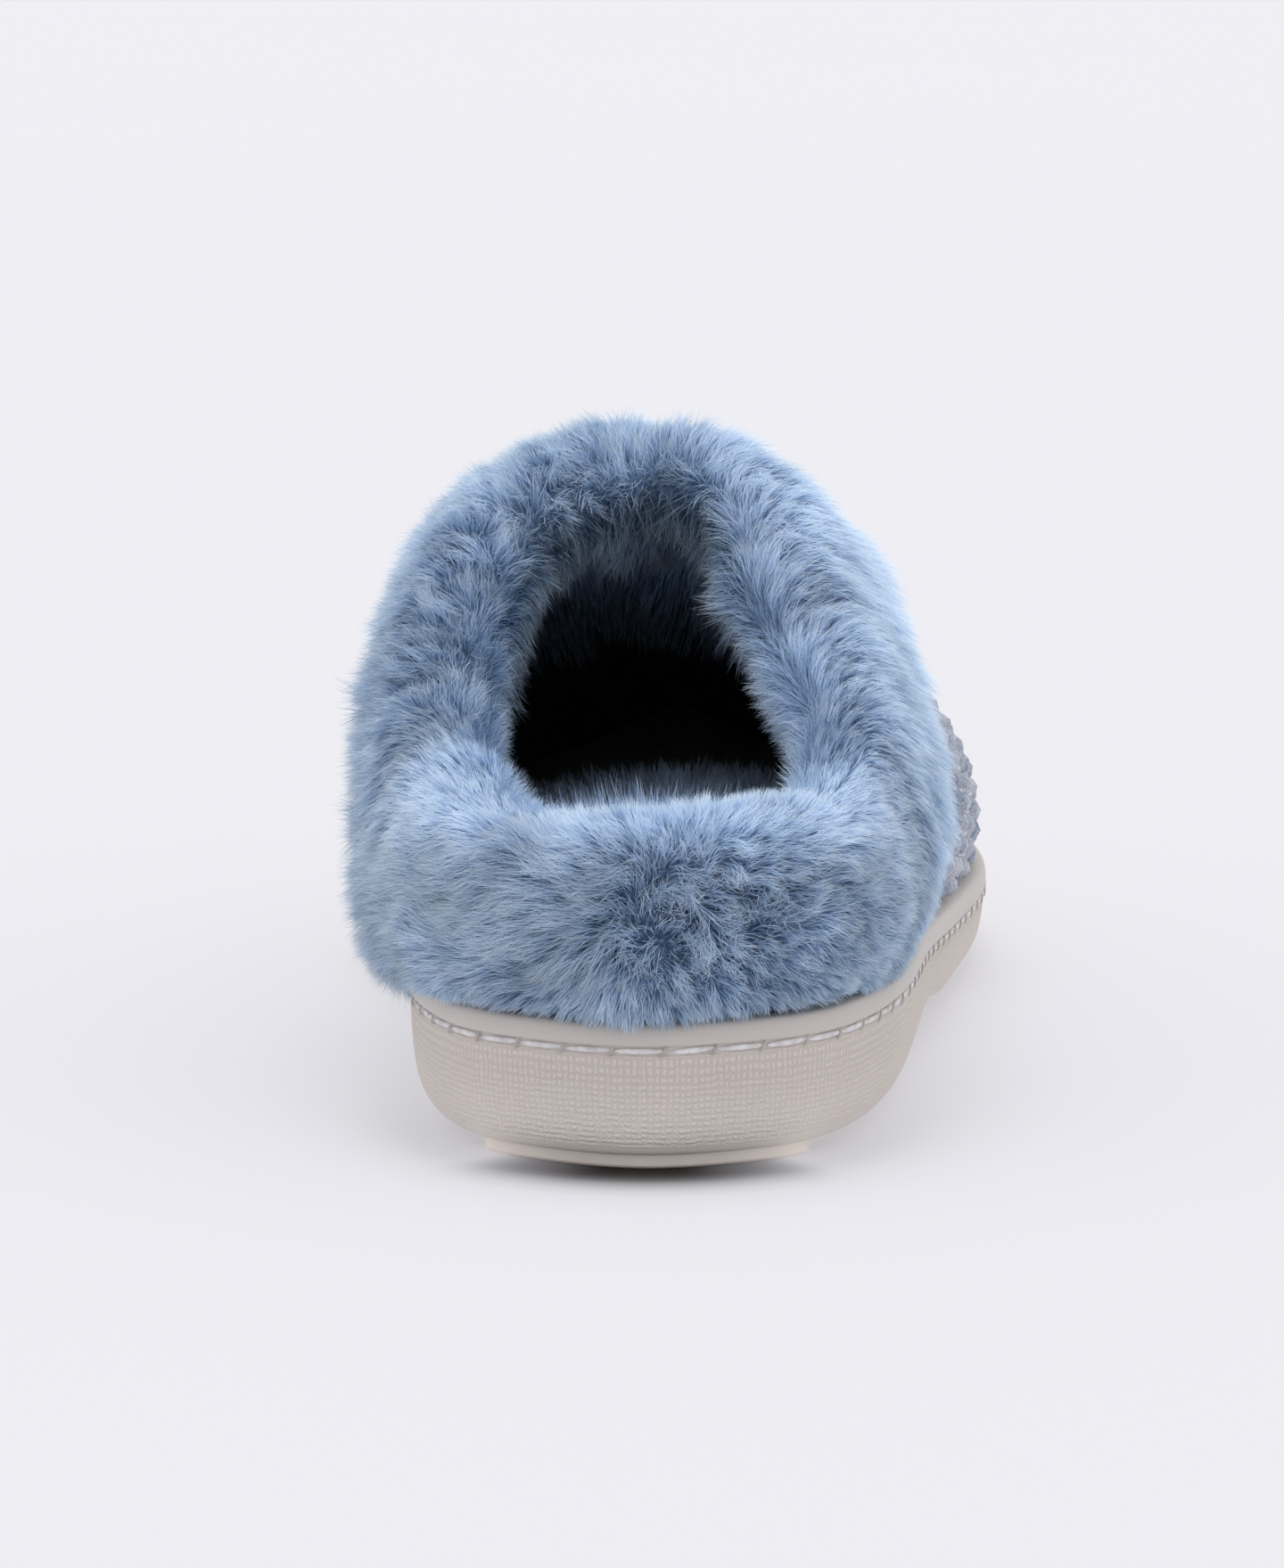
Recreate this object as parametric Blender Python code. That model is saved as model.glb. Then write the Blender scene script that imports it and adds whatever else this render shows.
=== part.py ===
# House slipper, right shoe: moulded cup sole, lasted upper, long-pile collar and plush footbed.
# It lies along +Y from heel to toe, has its outer side towards +X and stands on z = 0.
# Sizes are in millimetres and degrees until the meshes are made.
import math

import bmesh
import bpy
import numpy as np

MM = 0.001
AROUND = 72
COLLAR_AROUND = 72
GAP = 0.3

# Sole
SOLE_LENGTH = 271.0
SOLE_HEEL_RADIUS = 22.0
SOLE_TOE_RADIUS = 31.0
LIP_WIDTH = 4.0
TREAD_DEPTH = 2.0
BAR_MARGIN = 1.7
ARCH_RISE = 2.6
ARCH_START = 82.0
ARCH_END = 138.0
TOE_SPRING = 8.0
SPRING_START = 206.0

# Upper
WALL = 2.8
EDGE_ROUND = 0.8
TOP_START = 8.0
TOP_LENGTH = 110.0
TOP_HEEL_RADIUS = 22.0
TOP_THROAT_RADIUS = 23.0
TOP_HEEL_HEIGHT = 46.0
TOP_THROAT_HEIGHT = 89.5
UPPER_ROWS = 11
SIDE_STEEPNESS = 10.0

# Collar
FUR_OUT = 8.5
FUR_IN = 7.0
FUR_OVER = 8.0
COLLAR_GAP = 0.45
LOCK_LENGTH = 3.8
LOCK_LEAN = 1.4


def table(names, *rows):
    values = np.array(rows, float)
    return {name: values[:, i] for i, name in enumerate(names.split())}


# Plan of the sole's lip: the middle and half the width at each place along the shoe.
SOLE_PLAN = table(
    "along centre half",
    (4.0, 0.0, 14.2),
    (9.0, 0.0, 22.4),
    (16.0, -0.1, 28.6),
    (23.0, -0.1, 32.0),
    (36.0, -0.2, 36.0),
    (58.0, 0.1, 39.0),
    (95.0, 1.4, 40.0),
    (123.0, 2.0, 42.2),
    (150.0, 1.2, 46.0),
    (177.0, -0.6, 50.4),
    (205.0, -2.4, 50.2),
    (228.0, -4.2, 45.0),
    (248.0, -5.6, 34.6),
    (262.0, -6.3, 21.8),
)
# Heights along the shoe: the cup's floor, the lip and the top of the footbed.
HEIGHTS = table(
    "along floor lip footbed",
    (0.0, 11.0, 22.5, 32.0),
    (40.0, 10.8, 22.2, 31.6),
    (75.0, 10.5, 21.2, 31.0),
    (120.0, 9.4, 18.2, 28.4),
    (170.0, 8.4, 16.0, 23.4),
    (205.0, 8.4, 16.2, 21.6),
    (240.0, 11.0, 18.6, 22.4),
    (271.0, 15.5, 22.4, 26.0),
)
# Side of the sole from the lip down: a share of the height from base to lip, a drop below that, an inset.
SOLE_SIDE = table(
    "share drop inset",
    (1.0, 0.4, 4.0),
    (1.0, 0.0, 3.5),
    (1.0, 0.0, 0.9),
    (1.0, 0.6, 0.25),
    (1.0, 1.8, 0.0),
    (1.0, 3.2, 0.1),
    (1.0, 3.5, 1.0),
    (1.0, 4.7, 1.0),
    (1.0, 5.0, 0.4),
    (0.56, 0.0, 0.5),
    (0.38, 0.0, 0.75),
    (0.19, 0.0, 1.3),
    (0.07, 0.0, 2.3),
    (0.0, 0.0, 3.4),
)
# Tread bars, by the first and last strip of the sole's underside that each one takes.
TREAD_BARS = table(
    "first last",
    (2, 5),
    (6, 7),
    (8, 9),
    (10, 11),
    (12, 12),
    (19, 19),
    (20, 20),
    (21, 21),
    (22, 22),
    (23, 23),
    (24, 25),
    (26, 27),
    (28, 29),
    (30, 33),
)
# Plan and height of the upper's topline.
TOPLINE = table(
    "along centre half height",
    (25.0, -0.4, 25.5, 48.0),
    (40.0, -1.0, 30.0, 51.6),
    (60.0, -2.2, 32.0, 58.4),
    (75.0, -4.6, 29.6, 65.0),
    (90.0, -6.3, 25.8, 72.4),
    (100.0, -6.3, 22.4, 78.2),
    (110.0, -4.8, 17.6, 84.4),
)
# Sections of the upper by their angle round the sole from the heel: the angle round the topline that each
# one rises to, the handles of its curve, and the share of the way up where the collar stops.
SECTIONS = table(
    "turn top_turn rise flare reach pitch outer_stop inner_stop",
    (0.0, 0.0, 8.0, 0.25, 8.0, 82.0, 0.09, 0.68),
    (30.0, 30.0, 8.5, 0.25, 8.0, 82.0, 0.09, 0.66),
    (60.0, 87.0, 13.0, 0.30, 13.0, 74.0, 0.10, 0.54),
    (75.0, 113.0, 16.0, 0.32, 17.0, 68.0, 0.34, 0.58),
    (90.0, 134.0, 19.0, 0.32, 23.0, 58.0, 0.56, 0.70),
    (120.0, 151.0, 22.0, 0.30, 38.0, 40.0, 0.72, 0.84),
    (150.0, 166.0, 24.0, 0.28, 48.0, 28.0, 0.80, 0.89),
    (180.0, 180.0, 25.0, 0.25, 52.0, 24.0, 0.82, 0.90),
)
# Faces of the collar, by the share of the way from its stop to the topline.
BACK_WAYS = (0.0, 0.2, 0.4, 0.6, 0.8, 1.0)
LINING_WAYS = (1.0, 0.66, 0.33, 0.0)
PILE_OUTSIDE = table(
    "way depth",
    (0.82, 1.0),
    (0.60, 1.04),
    (0.36, 1.06),
    (0.14, 1.0),
    (0.0, 0.8),
)
PILE_INSIDE = table(
    "way depth",
    (0.0, 0.7),
    (0.25, 0.95),
    (0.55, 1.0),
    (0.82, 1.0),
)
PILE_ARC = (145.0, 110.0, 75.0, 35.0)

TURN = np.linspace(0.0, 2.0 * math.pi, AROUND, endpoint=False)
UP = np.array((0.0, 0.0, 1.0))
STEP = 0.001


def unit(vectors):
    return vectors / np.linalg.norm(vectors, axis=-1, keepdims=True)


# Cubic spline through the values, level at both ends.
def level_spline(places, values, at):
    gap = np.diff(places)
    pull = np.diff(values) / gap**2
    count = len(places)
    system = np.eye(count)
    target = np.zeros(count)
    for i in range(1, count - 1):
        system[i, i - 1] = 1.0 / gap[i - 1]
        system[i, i + 1] = 1.0 / gap[i]
        system[i, i] = 2.0 * (system[i, i - 1] + system[i, i + 1])
        target[i] = 3.0 * (pull[i - 1] + pull[i])
    slope = np.linalg.solve(system, target)
    k = np.clip(np.searchsorted(places, at) - 1, 0, count - 2)
    s = (at - places[k]) / gap[k]
    rest = 1.0 - s
    level = values[k] * (1.0 + 2.0 * s) * rest**2 + values[k + 1] * (3.0 - 2.0 * s) * s**2
    return level + gap[k] * s * rest * (slope[k] * rest - slope[k + 1] * s)


# Angle from the heel end, the same on both sides of the shoe.
def folded(turn):
    return np.arccos(np.clip(np.cos(turn), -1.0, 1.0))


# Closed loop in plan: heel at 0, outer side at a quarter turn, toe at a half.
def plan_loop(turn, plan, start, length, heel_radius, toe_radius):
    station = np.arccos(1.0 - 2.0 * (plan["along"] - start) / length)
    places = np.concatenate(([0.0], station, [math.pi]))
    ends = np.sqrt(np.array((heel_radius, toe_radius)) * length / 2.0)
    swell = np.concatenate((ends[:1], plan["half"] / np.sin(station), ends[1:]))
    middle = np.concatenate((plan["centre"][:1], plan["centre"], plan["centre"][-1:]))
    x = level_spline(places, middle, folded(turn))
    x = x + level_spline(places, swell, folded(turn)) * np.sin(turn)
    y = start + length / 2.0 * (1.0 - np.cos(turn))
    return np.stack((x, y, np.zeros_like(x)), axis=-1)


def sole_loop(turn):
    return plan_loop(turn, SOLE_PLAN, 0.0, SOLE_LENGTH, SOLE_HEEL_RADIUS, SOLE_TOE_RADIUS)


def top_loop(turn):
    return plan_loop(turn, TOPLINE, TOP_START, TOP_LENGTH, TOP_HEEL_RADIUS, TOP_THROAT_RADIUS)


def outward(loop, turn):
    along = loop(turn + STEP) - loop(turn - STEP)
    return unit(np.stack((along[..., 1], -along[..., 0], along[..., 2]), axis=-1))


# Height of the floor, lip or footbed beside each point of the lip.
def height(name, turn):
    return level_spline(HEIGHTS["along"], HEIGHTS[name], sole_loop(turn)[..., 1])


# Underside between the tread bars: flat at heel and forefoot, raised at the arch and the toe.
def base_height(turn):
    y = sole_loop(turn)[..., 1]
    arch = np.clip((y - ARCH_START) / (ARCH_END - ARCH_START), 0.0, 1.0)
    spring = np.clip((y - SPRING_START) / (SOLE_LENGTH - SPRING_START), 0.0, 1.0)
    return TREAD_DEPTH + ARCH_RISE * np.sin(math.pi * arch) ** 2 + TOE_SPRING * spring**2


def sole_ring(inset, z):
    return sole_loop(TURN) - inset * outward(sole_loop, TURN) + np.multiply.outer(z, UP)


def section(name, turn):
    return level_spline(np.radians(SECTIONS["turn"]), SECTIONS[name], folded(turn))


def topline_turn(turn):
    there = np.radians(section("top_turn", turn))
    return np.where(np.sin(turn) < 0.0, 2.0 * math.pi - there, there)


def topline_height(turn):
    station = np.arccos(1.0 - 2.0 * (TOPLINE["along"] - TOP_START) / TOP_LENGTH)
    places = np.concatenate(([0.0], station, [math.pi]))
    values = np.concatenate(([TOP_HEEL_HEIGHT], TOPLINE["height"], [TOP_THROAT_HEIGHT]))
    return level_spline(places, values, folded(turn))


# Outer face of the upper, from the lip (way 0) to the topline (way 1).
def upper_face(turn, way):
    out = outward(sole_loop, turn)
    foot = sole_loop(turn) - (LIP_WIDTH + GAP) * out
    foot = foot + height("lip", turn)[..., None] * UP
    there = topline_turn(turn)
    top = top_loop(there) + topline_height(there)[..., None] * UP
    pitch = np.radians(section("pitch", turn) - SIDE_STEEPNESS * np.sin(2.0 * turn))[..., None]
    rise = section("rise", turn)[..., None]
    reach = section("reach", turn)[..., None]
    first = foot + rise * (UP + section("flare", turn)[..., None] * out)
    last = top + reach * (np.cos(pitch) * outward(top_loop, there) - np.sin(pitch) * UP)
    s = way[..., None]
    rest = 1.0 - s
    ends = foot * rest**3 + top * s**3
    return ends + 3.0 * first * rest**2 * s + 3.0 * last * rest * s**2


def upper_climb(turn, way):
    return unit(upper_face(turn, way + STEP) - upper_face(turn, way - STEP))


def upper_normal(turn, way):
    along = upper_face(turn + STEP, way) - upper_face(turn - STEP, way)
    return unit(np.cross(along, upper_climb(turn, way)))


# A ring at a share of the way up and a depth outside the outer face, or inside it if negative.
def upper_ring(turn, way, depth):
    way = np.broadcast_to(way, turn.shape)
    return upper_face(turn, way) + upper_normal(turn, way) * depth


# A ring round the topline's edge, at an angle from the outside over to the inside.
def edge_ring(turn, angle, outside, over, inside):
    way = np.ones_like(turn)
    normal = upper_normal(turn, way)
    middle = upper_face(turn, way) - normal * WALL / 2.0
    across = math.cos(math.radians(angle))
    side = outside if across > 0.0 else inside
    lift = upper_climb(turn, way) * over * math.sin(math.radians(angle))
    return middle + normal * (across * (WALL / 2.0 + side)) + lift


# Angles that divide the collar evenly, between its topline and its outer stop.
def even_turns(count):
    dense = np.linspace(0.0, 2.0 * math.pi, 40 * count)
    points = upper_face(dense, np.ones_like(dense)) + upper_face(dense, section("outer_stop", dense))
    steps = np.linalg.norm(np.diff(points, axis=0), axis=1)
    length = np.concatenate(([0.0], np.cumsum(steps)))
    return np.interp(np.linspace(0.0, length[-1], count, endpoint=False), length, dense)


# Joins rings of points into a tube, and returns the vertices and the faces between the rings.
def join_rings(body, rings, closed):
    verts = [[body.verts.new(point * MM) for point in ring] for ring in rings]
    strips = []
    for i in range(len(rings) if closed else len(rings) - 1):
        low = verts[i]
        high = verts[(i + 1) % len(rings)]
        strip = []
        for j in range(len(low)):
            k = (j + 1) % len(low)
            strip.append(body.faces.new((low[j], low[k], high[k], high[j])))
        strips.append(strip)
    return verts, strips


# Closes a ring with strips across the shoe, from heel to toe.
def close_ring(body, verts):
    half = len(verts) // 2
    faces = [body.faces.new((verts[0], verts[1], verts[-1]))]
    for j in range(1, half - 1):
        faces.append(body.faces.new((verts[j], verts[j + 1], verts[-j - 1], verts[-j])))
    faces.append(body.faces.new((verts[half - 1], verts[half], verts[half + 1])))
    return faces


def make_object(name, body, colour, roughness):
    bmesh.ops.recalc_face_normals(body, faces=body.faces)
    mesh = bpy.data.meshes.new(name)
    body.to_mesh(mesh)
    body.free()
    material = bpy.data.materials.new(name)
    material.use_nodes = True
    shader = material.node_tree.nodes["Principled BSDF"]
    shader.inputs["Base Color"].default_value = (*colour, 1.0)
    shader.inputs["Roughness"].default_value = roughness
    mesh.materials.append(material)
    made = bpy.data.objects.new(name, mesh)
    bpy.context.scene.collection.objects.link(made)
    return made


# Cup sole: floor, lip, stitch groove, side, underside and tread bars.
def make_outsole():
    body = bmesh.new()
    base = base_height(TURN)
    lip = height("lip", TURN)
    rings = [sole_ring(LIP_WIDTH, height("floor", TURN))]
    for share, drop, inset in zip(SOLE_SIDE["share"], SOLE_SIDE["drop"], SOLE_SIDE["inset"]):
        rings.append(sole_ring(inset, base + share * (lip - base) - drop))
    verts, strips = join_rings(body, rings, False)
    close_ring(body, verts[0])
    underside = close_ring(body, verts[-1])
    bmesh.ops.recalc_face_normals(body, faces=body.faces)
    for first, last in zip(TREAD_BARS["first"], TREAD_BARS["last"]):
        bar = underside[int(first) : int(last) + 1]
        bmesh.ops.inset_region(body, faces=bar, thickness=BAR_MARGIN * MM, use_even_offset=True)
        pushed = bmesh.ops.extrude_face_region(body, geom=bar)
        bmesh.ops.delete(body, geom=bar, context="FACES")
        moved = [item for item in pushed["geom"] if isinstance(item, bmesh.types.BMVert)]
        bmesh.ops.translate(body, verts=moved, vec=(0.0, 0.0, -TREAD_DEPTH * MM))
    return make_object("outsole", body, (0.49, 0.44, 0.40), 0.6)


# Hollow shell of one wall thickness, open at the topline and under the foot.
def make_upper():
    body = bmesh.new()
    foot = height("floor", TURN) + GAP
    ways = np.linspace(0.0, 1.0, UPPER_ROWS + 1)
    rings = [sole_ring(LIP_WIDTH + GAP, foot)]
    rings += [upper_ring(TURN, way, 0.0) for way in ways]
    rings.append(edge_ring(TURN, 90.0, 0.0, EDGE_ROUND, 0.0))
    rings += [upper_ring(TURN, way, -WALL) for way in ways[:0:-1]]
    rings.append(sole_ring(LIP_WIDTH + GAP + WALL, height("lip", TURN)))
    rings.append(sole_ring(LIP_WIDTH + GAP + WALL, foot))
    join_rings(body, rings, True)
    return make_object("upper", body, (0.22, 0.28, 0.38), 0.9)


# Long pile over the topline, cut between two offsets of the upper's face, with locks standing out of it.
def make_collar():
    body = bmesh.new()
    turn = even_turns(COLLAR_AROUND)
    outer = section("outer_stop", turn)
    inner = section("inner_stop", turn)
    lining = -WALL - COLLAR_GAP
    rings = [upper_ring(turn, outer + (1.0 - outer) * way, COLLAR_GAP) for way in BACK_WAYS]
    rings.append(edge_ring(turn, 90.0, 0.0, EDGE_ROUND + COLLAR_GAP, 0.0))
    rings += [upper_ring(turn, inner + (1.0 - inner) * way, lining) for way in LINING_WAYS]
    first_pile = len(rings)
    for way, depth in zip(PILE_INSIDE["way"], PILE_INSIDE["depth"]):
        rings.append(upper_ring(turn, inner + (1.0 - inner) * way, lining - FUR_IN * depth))
    for angle in PILE_ARC:
        rings.append(edge_ring(turn, angle, FUR_OUT, FUR_OVER, FUR_IN))
    for way, depth in zip(PILE_OUTSIDE["way"], PILE_OUTSIDE["depth"]):
        rings.append(upper_ring(turn, outer + (1.0 - outer) * way, COLLAR_GAP + FUR_OUT * depth))
    verts, strips = join_rings(body, rings, True)
    bmesh.ops.recalc_face_normals(body, faces=body.faces)
    for i, strip in enumerate(strips[first_pile:-1]):
        for j, face in enumerate(strip):
            if (i + j) % 2 == 0:
                raise_lock(body, face, 2.4 * j + 4.1 * i)
    return make_object("fur_collar", body, (0.36, 0.45, 0.58), 0.95)


# Pulls a face out to a tip that leans to one side or the other.
def raise_lock(body, face, phase):
    share = 0.82 + 0.18 * math.sin(phase)
    tip = face.normal * LOCK_LENGTH * share
    tip += face.calc_tangent_edge() * LOCK_LEAN * math.sin(1.7 * phase)
    poked = bmesh.ops.poke(body, faces=[face])
    poked["verts"][0].co += tip * MM


# Thick footbed on the cup's floor, inside the upper.
def make_insole():
    body = bmesh.new()
    inset = LIP_WIDTH + GAP + WALL + GAP
    top = height("footbed", TURN)
    rings = [sole_ring(inset, height("floor", TURN) + GAP)]
    rings.append(sole_ring(inset, top - 3.0))
    rings.append(sole_ring(inset + 1.0, top - 1.0))
    rings.append(sole_ring(inset + 4.0, top))
    verts, strips = join_rings(body, rings, False)
    close_ring(body, verts[0])
    close_ring(body, verts[-1])
    return make_object("insole", body, (0.30, 0.38, 0.50), 0.95)


# Sets the origin under the middle of the whole shoe, on the floor.
def centre_on_floor(pieces):
    points = np.array([vert.co for piece in pieces for vert in piece.data.vertices])
    low = points.min(axis=0)
    high = points.max(axis=0)
    shift = np.array((-(low[0] + high[0]) / 2.0, -(low[1] + high[1]) / 2.0, -low[2]))
    for piece in pieces:
        for vert in piece.data.vertices:
            vert.co.x += shift[0]
            vert.co.y += shift[1]
            vert.co.z += shift[2]


for old in list(bpy.data.objects):
    bpy.data.objects.remove(old)
centre_on_floor([make_outsole(), make_upper(), make_collar(), make_insole()])
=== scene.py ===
# House slipper for the right foot. Metres, +Y from heel to toe, +X to the outer side, +Z up.
import math

import bmesh
import bpy
import numpy as np
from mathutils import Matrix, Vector
from mathutils.bvhtree import BVHTree


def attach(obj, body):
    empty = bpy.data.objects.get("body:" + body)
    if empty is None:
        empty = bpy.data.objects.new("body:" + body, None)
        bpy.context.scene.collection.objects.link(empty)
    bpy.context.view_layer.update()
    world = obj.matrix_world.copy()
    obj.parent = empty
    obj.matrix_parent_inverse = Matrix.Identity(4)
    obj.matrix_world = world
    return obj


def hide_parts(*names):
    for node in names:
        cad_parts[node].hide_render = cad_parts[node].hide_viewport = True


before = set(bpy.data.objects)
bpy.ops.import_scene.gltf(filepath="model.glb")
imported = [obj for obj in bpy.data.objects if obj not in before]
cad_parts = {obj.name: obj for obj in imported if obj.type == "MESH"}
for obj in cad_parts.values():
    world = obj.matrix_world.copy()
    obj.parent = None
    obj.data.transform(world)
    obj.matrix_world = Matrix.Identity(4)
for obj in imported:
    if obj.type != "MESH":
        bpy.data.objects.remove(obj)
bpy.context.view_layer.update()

scene = bpy.context.scene
print("frame loaded:", ", ".join(sorted(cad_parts)))

# the last's tables are in millimetres from the heel end of the lip
mm = 0.001
originShift = np.array((1.39, -131.869, 0.0))
upAxis = np.array((0.0, 0.0, 1.0))
tinyStep = 0.001


def columns(names, *rows):
    values = np.array(rows, float)
    return {name: values[:, i] for i, name in enumerate(names.split())}


last = {
    "length": 271.0,
    "heelRadius": 22.0,
    "toeRadius": 31.0,
    "lipWidth": 4.0,
    "gap": 0.3,
    "treadDepth": 2.0,
    "archRise": 2.6,
    "arch": (82.0, 138.0),
    "toeSpring": 8.0,
    "springStart": 206.0,
    "wall": 2.8,
    "topStart": 8.0,
    "topLength": 110.0,
    "topHeelRadius": 22.0,
    "topThroatRadius": 23.0,
    "topHeelHeight": 46.0,
    "topThroatHeight": 89.5,
    "sideSteepness": 10.0,
    "solePlan": columns(
        "along centre half",
        (4, 0, 14.2), (9, 0, 22.4), (16, -0.1, 28.6), (23, -0.1, 32), (36, -0.2, 36),
        (58, 0.1, 39), (95, 1.4, 40), (123, 2, 42.2), (150, 1.2, 46), (177, -0.6, 50.4),
        (205, -2.4, 50.2), (228, -4.2, 45), (248, -5.6, 34.6), (262, -6.3, 21.8),
    ),
    "heights": columns(
        "along floor lip footbed",
        (0, 11, 22.5, 32), (40, 10.8, 22.2, 31.6), (75, 10.5, 21.2, 31), (120, 9.4, 18.2, 28.4),
        (170, 8.4, 16, 23.4), (205, 8.4, 16.2, 21.6), (240, 11, 18.6, 22.4), (271, 15.5, 22.4, 26),
    ),
    "topline": columns(
        "along centre half height",
        (25, -0.4, 25.5, 48), (40, -1, 30, 51.6), (60, -2.2, 32, 58.4), (75, -4.6, 29.6, 65),
        (90, -6.3, 25.8, 72.4), (100, -6.3, 22.4, 78.2), (110, -4.8, 17.6, 84.4),
    ),
    "sections": columns(
        "turn topTurn rise flare reach pitch outerStop innerStop",
        (0, 0, 8, 0.25, 8, 82, 0.09, 0.68), (30, 30, 8.5, 0.25, 8, 82, 0.09, 0.66),
        (60, 87, 13, 0.30, 13, 74, 0.10, 0.54), (75, 113, 16, 0.32, 17, 68, 0.34, 0.58),
        (90, 134, 19, 0.32, 23, 58, 0.56, 0.70), (120, 151, 22, 0.30, 38, 40, 0.72, 0.84),
        (150, 166, 24, 0.28, 48, 28, 0.80, 0.89), (180, 180, 25, 0.25, 52, 24, 0.82, 0.90),
    ),
}


def unit(vectors):
    return vectors / np.maximum(np.linalg.norm(vectors, axis=-1, keepdims=True), 1e-9)


def smooth(low, high, values):
    t = np.clip((values - low) / (high - low), 0.0, 1.0)
    return t * t * (3.0 - 2.0 * t)


# cubic spline, level at both ends
def levelSpline(places, values, at):
    gap = np.diff(places)
    pull = np.diff(values) / gap**2
    count = len(places)
    system = np.eye(count)
    target = np.zeros(count)
    for i in range(1, count - 1):
        system[i, i - 1] = 1.0 / gap[i - 1]
        system[i, i + 1] = 1.0 / gap[i]
        system[i, i] = 2.0 * (system[i, i - 1] + system[i, i + 1])
        target[i] = 3.0 * (pull[i - 1] + pull[i])
    slope = np.linalg.solve(system, target)
    k = np.clip(np.searchsorted(places, at) - 1, 0, count - 2)
    s = (at - places[k]) / gap[k]
    rest = 1.0 - s
    level = values[k] * (1.0 + 2.0 * s) * rest**2 + values[k + 1] * (3.0 - 2.0 * s) * s**2
    return level + gap[k] * s * rest * (slope[k] * rest - slope[k + 1] * s)


def wholeTurn(count):
    return np.linspace(0.0, 2.0 * math.pi, count, endpoint=False)


# running total, from 0
def running(steps):
    return np.concatenate(([0.0], np.cumsum(steps)))


def ringSteps(rings):
    return np.linalg.norm(np.diff(rings, axis=0), axis=2).mean(axis=1)


def folded(turn):
    return np.arccos(np.clip(np.cos(turn), -1.0, 1.0))


# angles at which a plan's rows lie, with both ends
def stations(plan, start, length):
    station = np.arccos(1.0 - 2.0 * (plan["along"] - start) / length)
    return np.concatenate(([0.0], station, [math.pi]))


# closed loop in plan: heel at 0, outer side at a quarter turn, toe at a half
def planLoop(turn, plan, start, length, heelRadius, toeRadius):
    places = stations(plan, start, length)
    ends = np.sqrt(np.array((heelRadius, toeRadius)) * length / 2.0)
    swell = np.concatenate((ends[:1], plan["half"] / np.sin(places[1:-1]), ends[1:]))
    middle = np.concatenate((plan["centre"][:1], plan["centre"], plan["centre"][-1:]))
    x = levelSpline(places, middle, folded(turn))
    x = x + levelSpline(places, swell, folded(turn)) * np.sin(turn)
    y = start + length / 2.0 * (1.0 - np.cos(turn))
    return np.stack((x, y, np.zeros_like(x)), axis=-1)


def soleLoop(turn):
    return planLoop(turn, last["solePlan"], 0.0, last["length"], last["heelRadius"], last["toeRadius"])


def topLoop(turn):
    return planLoop(
        turn, last["topline"], last["topStart"], last["topLength"],
        last["topHeelRadius"], last["topThroatRadius"],
    )


def outward(loop, turn):
    along = loop(turn + tinyStep) - loop(turn - tinyStep)
    return unit(np.stack((along[..., 1], -along[..., 0], along[..., 2]), axis=-1))


def heightAt(name, turn):
    return levelSpline(last["heights"]["along"], last["heights"][name], soleLoop(turn)[..., 1])


def baseHeight(turn):
    y = soleLoop(turn)[..., 1]
    arch = np.clip((y - last["arch"][0]) / (last["arch"][1] - last["arch"][0]), 0.0, 1.0)
    spring = np.clip((y - last["springStart"]) / (last["length"] - last["springStart"]), 0.0, 1.0)
    return last["treadDepth"] + last["archRise"] * np.sin(math.pi * arch) ** 2 + last["toeSpring"] * spring**2


def soleRing(turn, inset, z):
    return soleLoop(turn) - inset * outward(soleLoop, turn) + np.multiply.outer(z, upAxis)


def sectionAt(name, turn):
    return levelSpline(np.radians(last["sections"]["turn"]), last["sections"][name], folded(turn))


def toplineTurn(turn):
    there = np.radians(sectionAt("topTurn", turn))
    return np.where(np.sin(turn) < 0.0, 2.0 * math.pi - there, there)


def toplineHeight(turn):
    places = stations(last["topline"], last["topStart"], last["topLength"])
    values = np.concatenate(([last["topHeelHeight"]], last["topline"]["height"], [last["topThroatHeight"]]))
    return levelSpline(places, values, folded(turn))


# outer face of the upper, from the lip (way 0) to the topline (way 1)
def upperFace(turn, way):
    out = outward(soleLoop, turn)
    foot = soleLoop(turn) - (last["lipWidth"] + last["gap"]) * out
    foot = foot + heightAt("lip", turn)[..., None] * upAxis
    there = toplineTurn(turn)
    top = topLoop(there) + toplineHeight(there)[..., None] * upAxis
    pitch = np.radians(sectionAt("pitch", turn) - last["sideSteepness"] * np.sin(2.0 * turn))[..., None]
    rise = sectionAt("rise", turn)[..., None]
    reach = sectionAt("reach", turn)[..., None]
    first = foot + rise * (upAxis + sectionAt("flare", turn)[..., None] * out)
    final = top + reach * (np.cos(pitch) * outward(topLoop, there) - np.sin(pitch) * upAxis)
    s = way[..., None]
    rest = 1.0 - s
    ends = foot * rest**3 + top * s**3
    return ends + 3.0 * first * rest**2 * s + 3.0 * final * rest * s**2


def upperClimb(turn, way):
    return unit(upperFace(turn, way + tinyStep) - upperFace(turn, way - tinyStep))


def upperNormal(turn, way):
    along = upperFace(turn + tinyStep, way) - upperFace(turn - tinyStep, way)
    return unit(np.cross(along, upperClimb(turn, way)))


def upperRing(turn, way, depth):
    way = np.broadcast_to(way, turn.shape)
    return upperFace(turn, way) + upperNormal(turn, way) * np.reshape(depth, (-1, 1))


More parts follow.
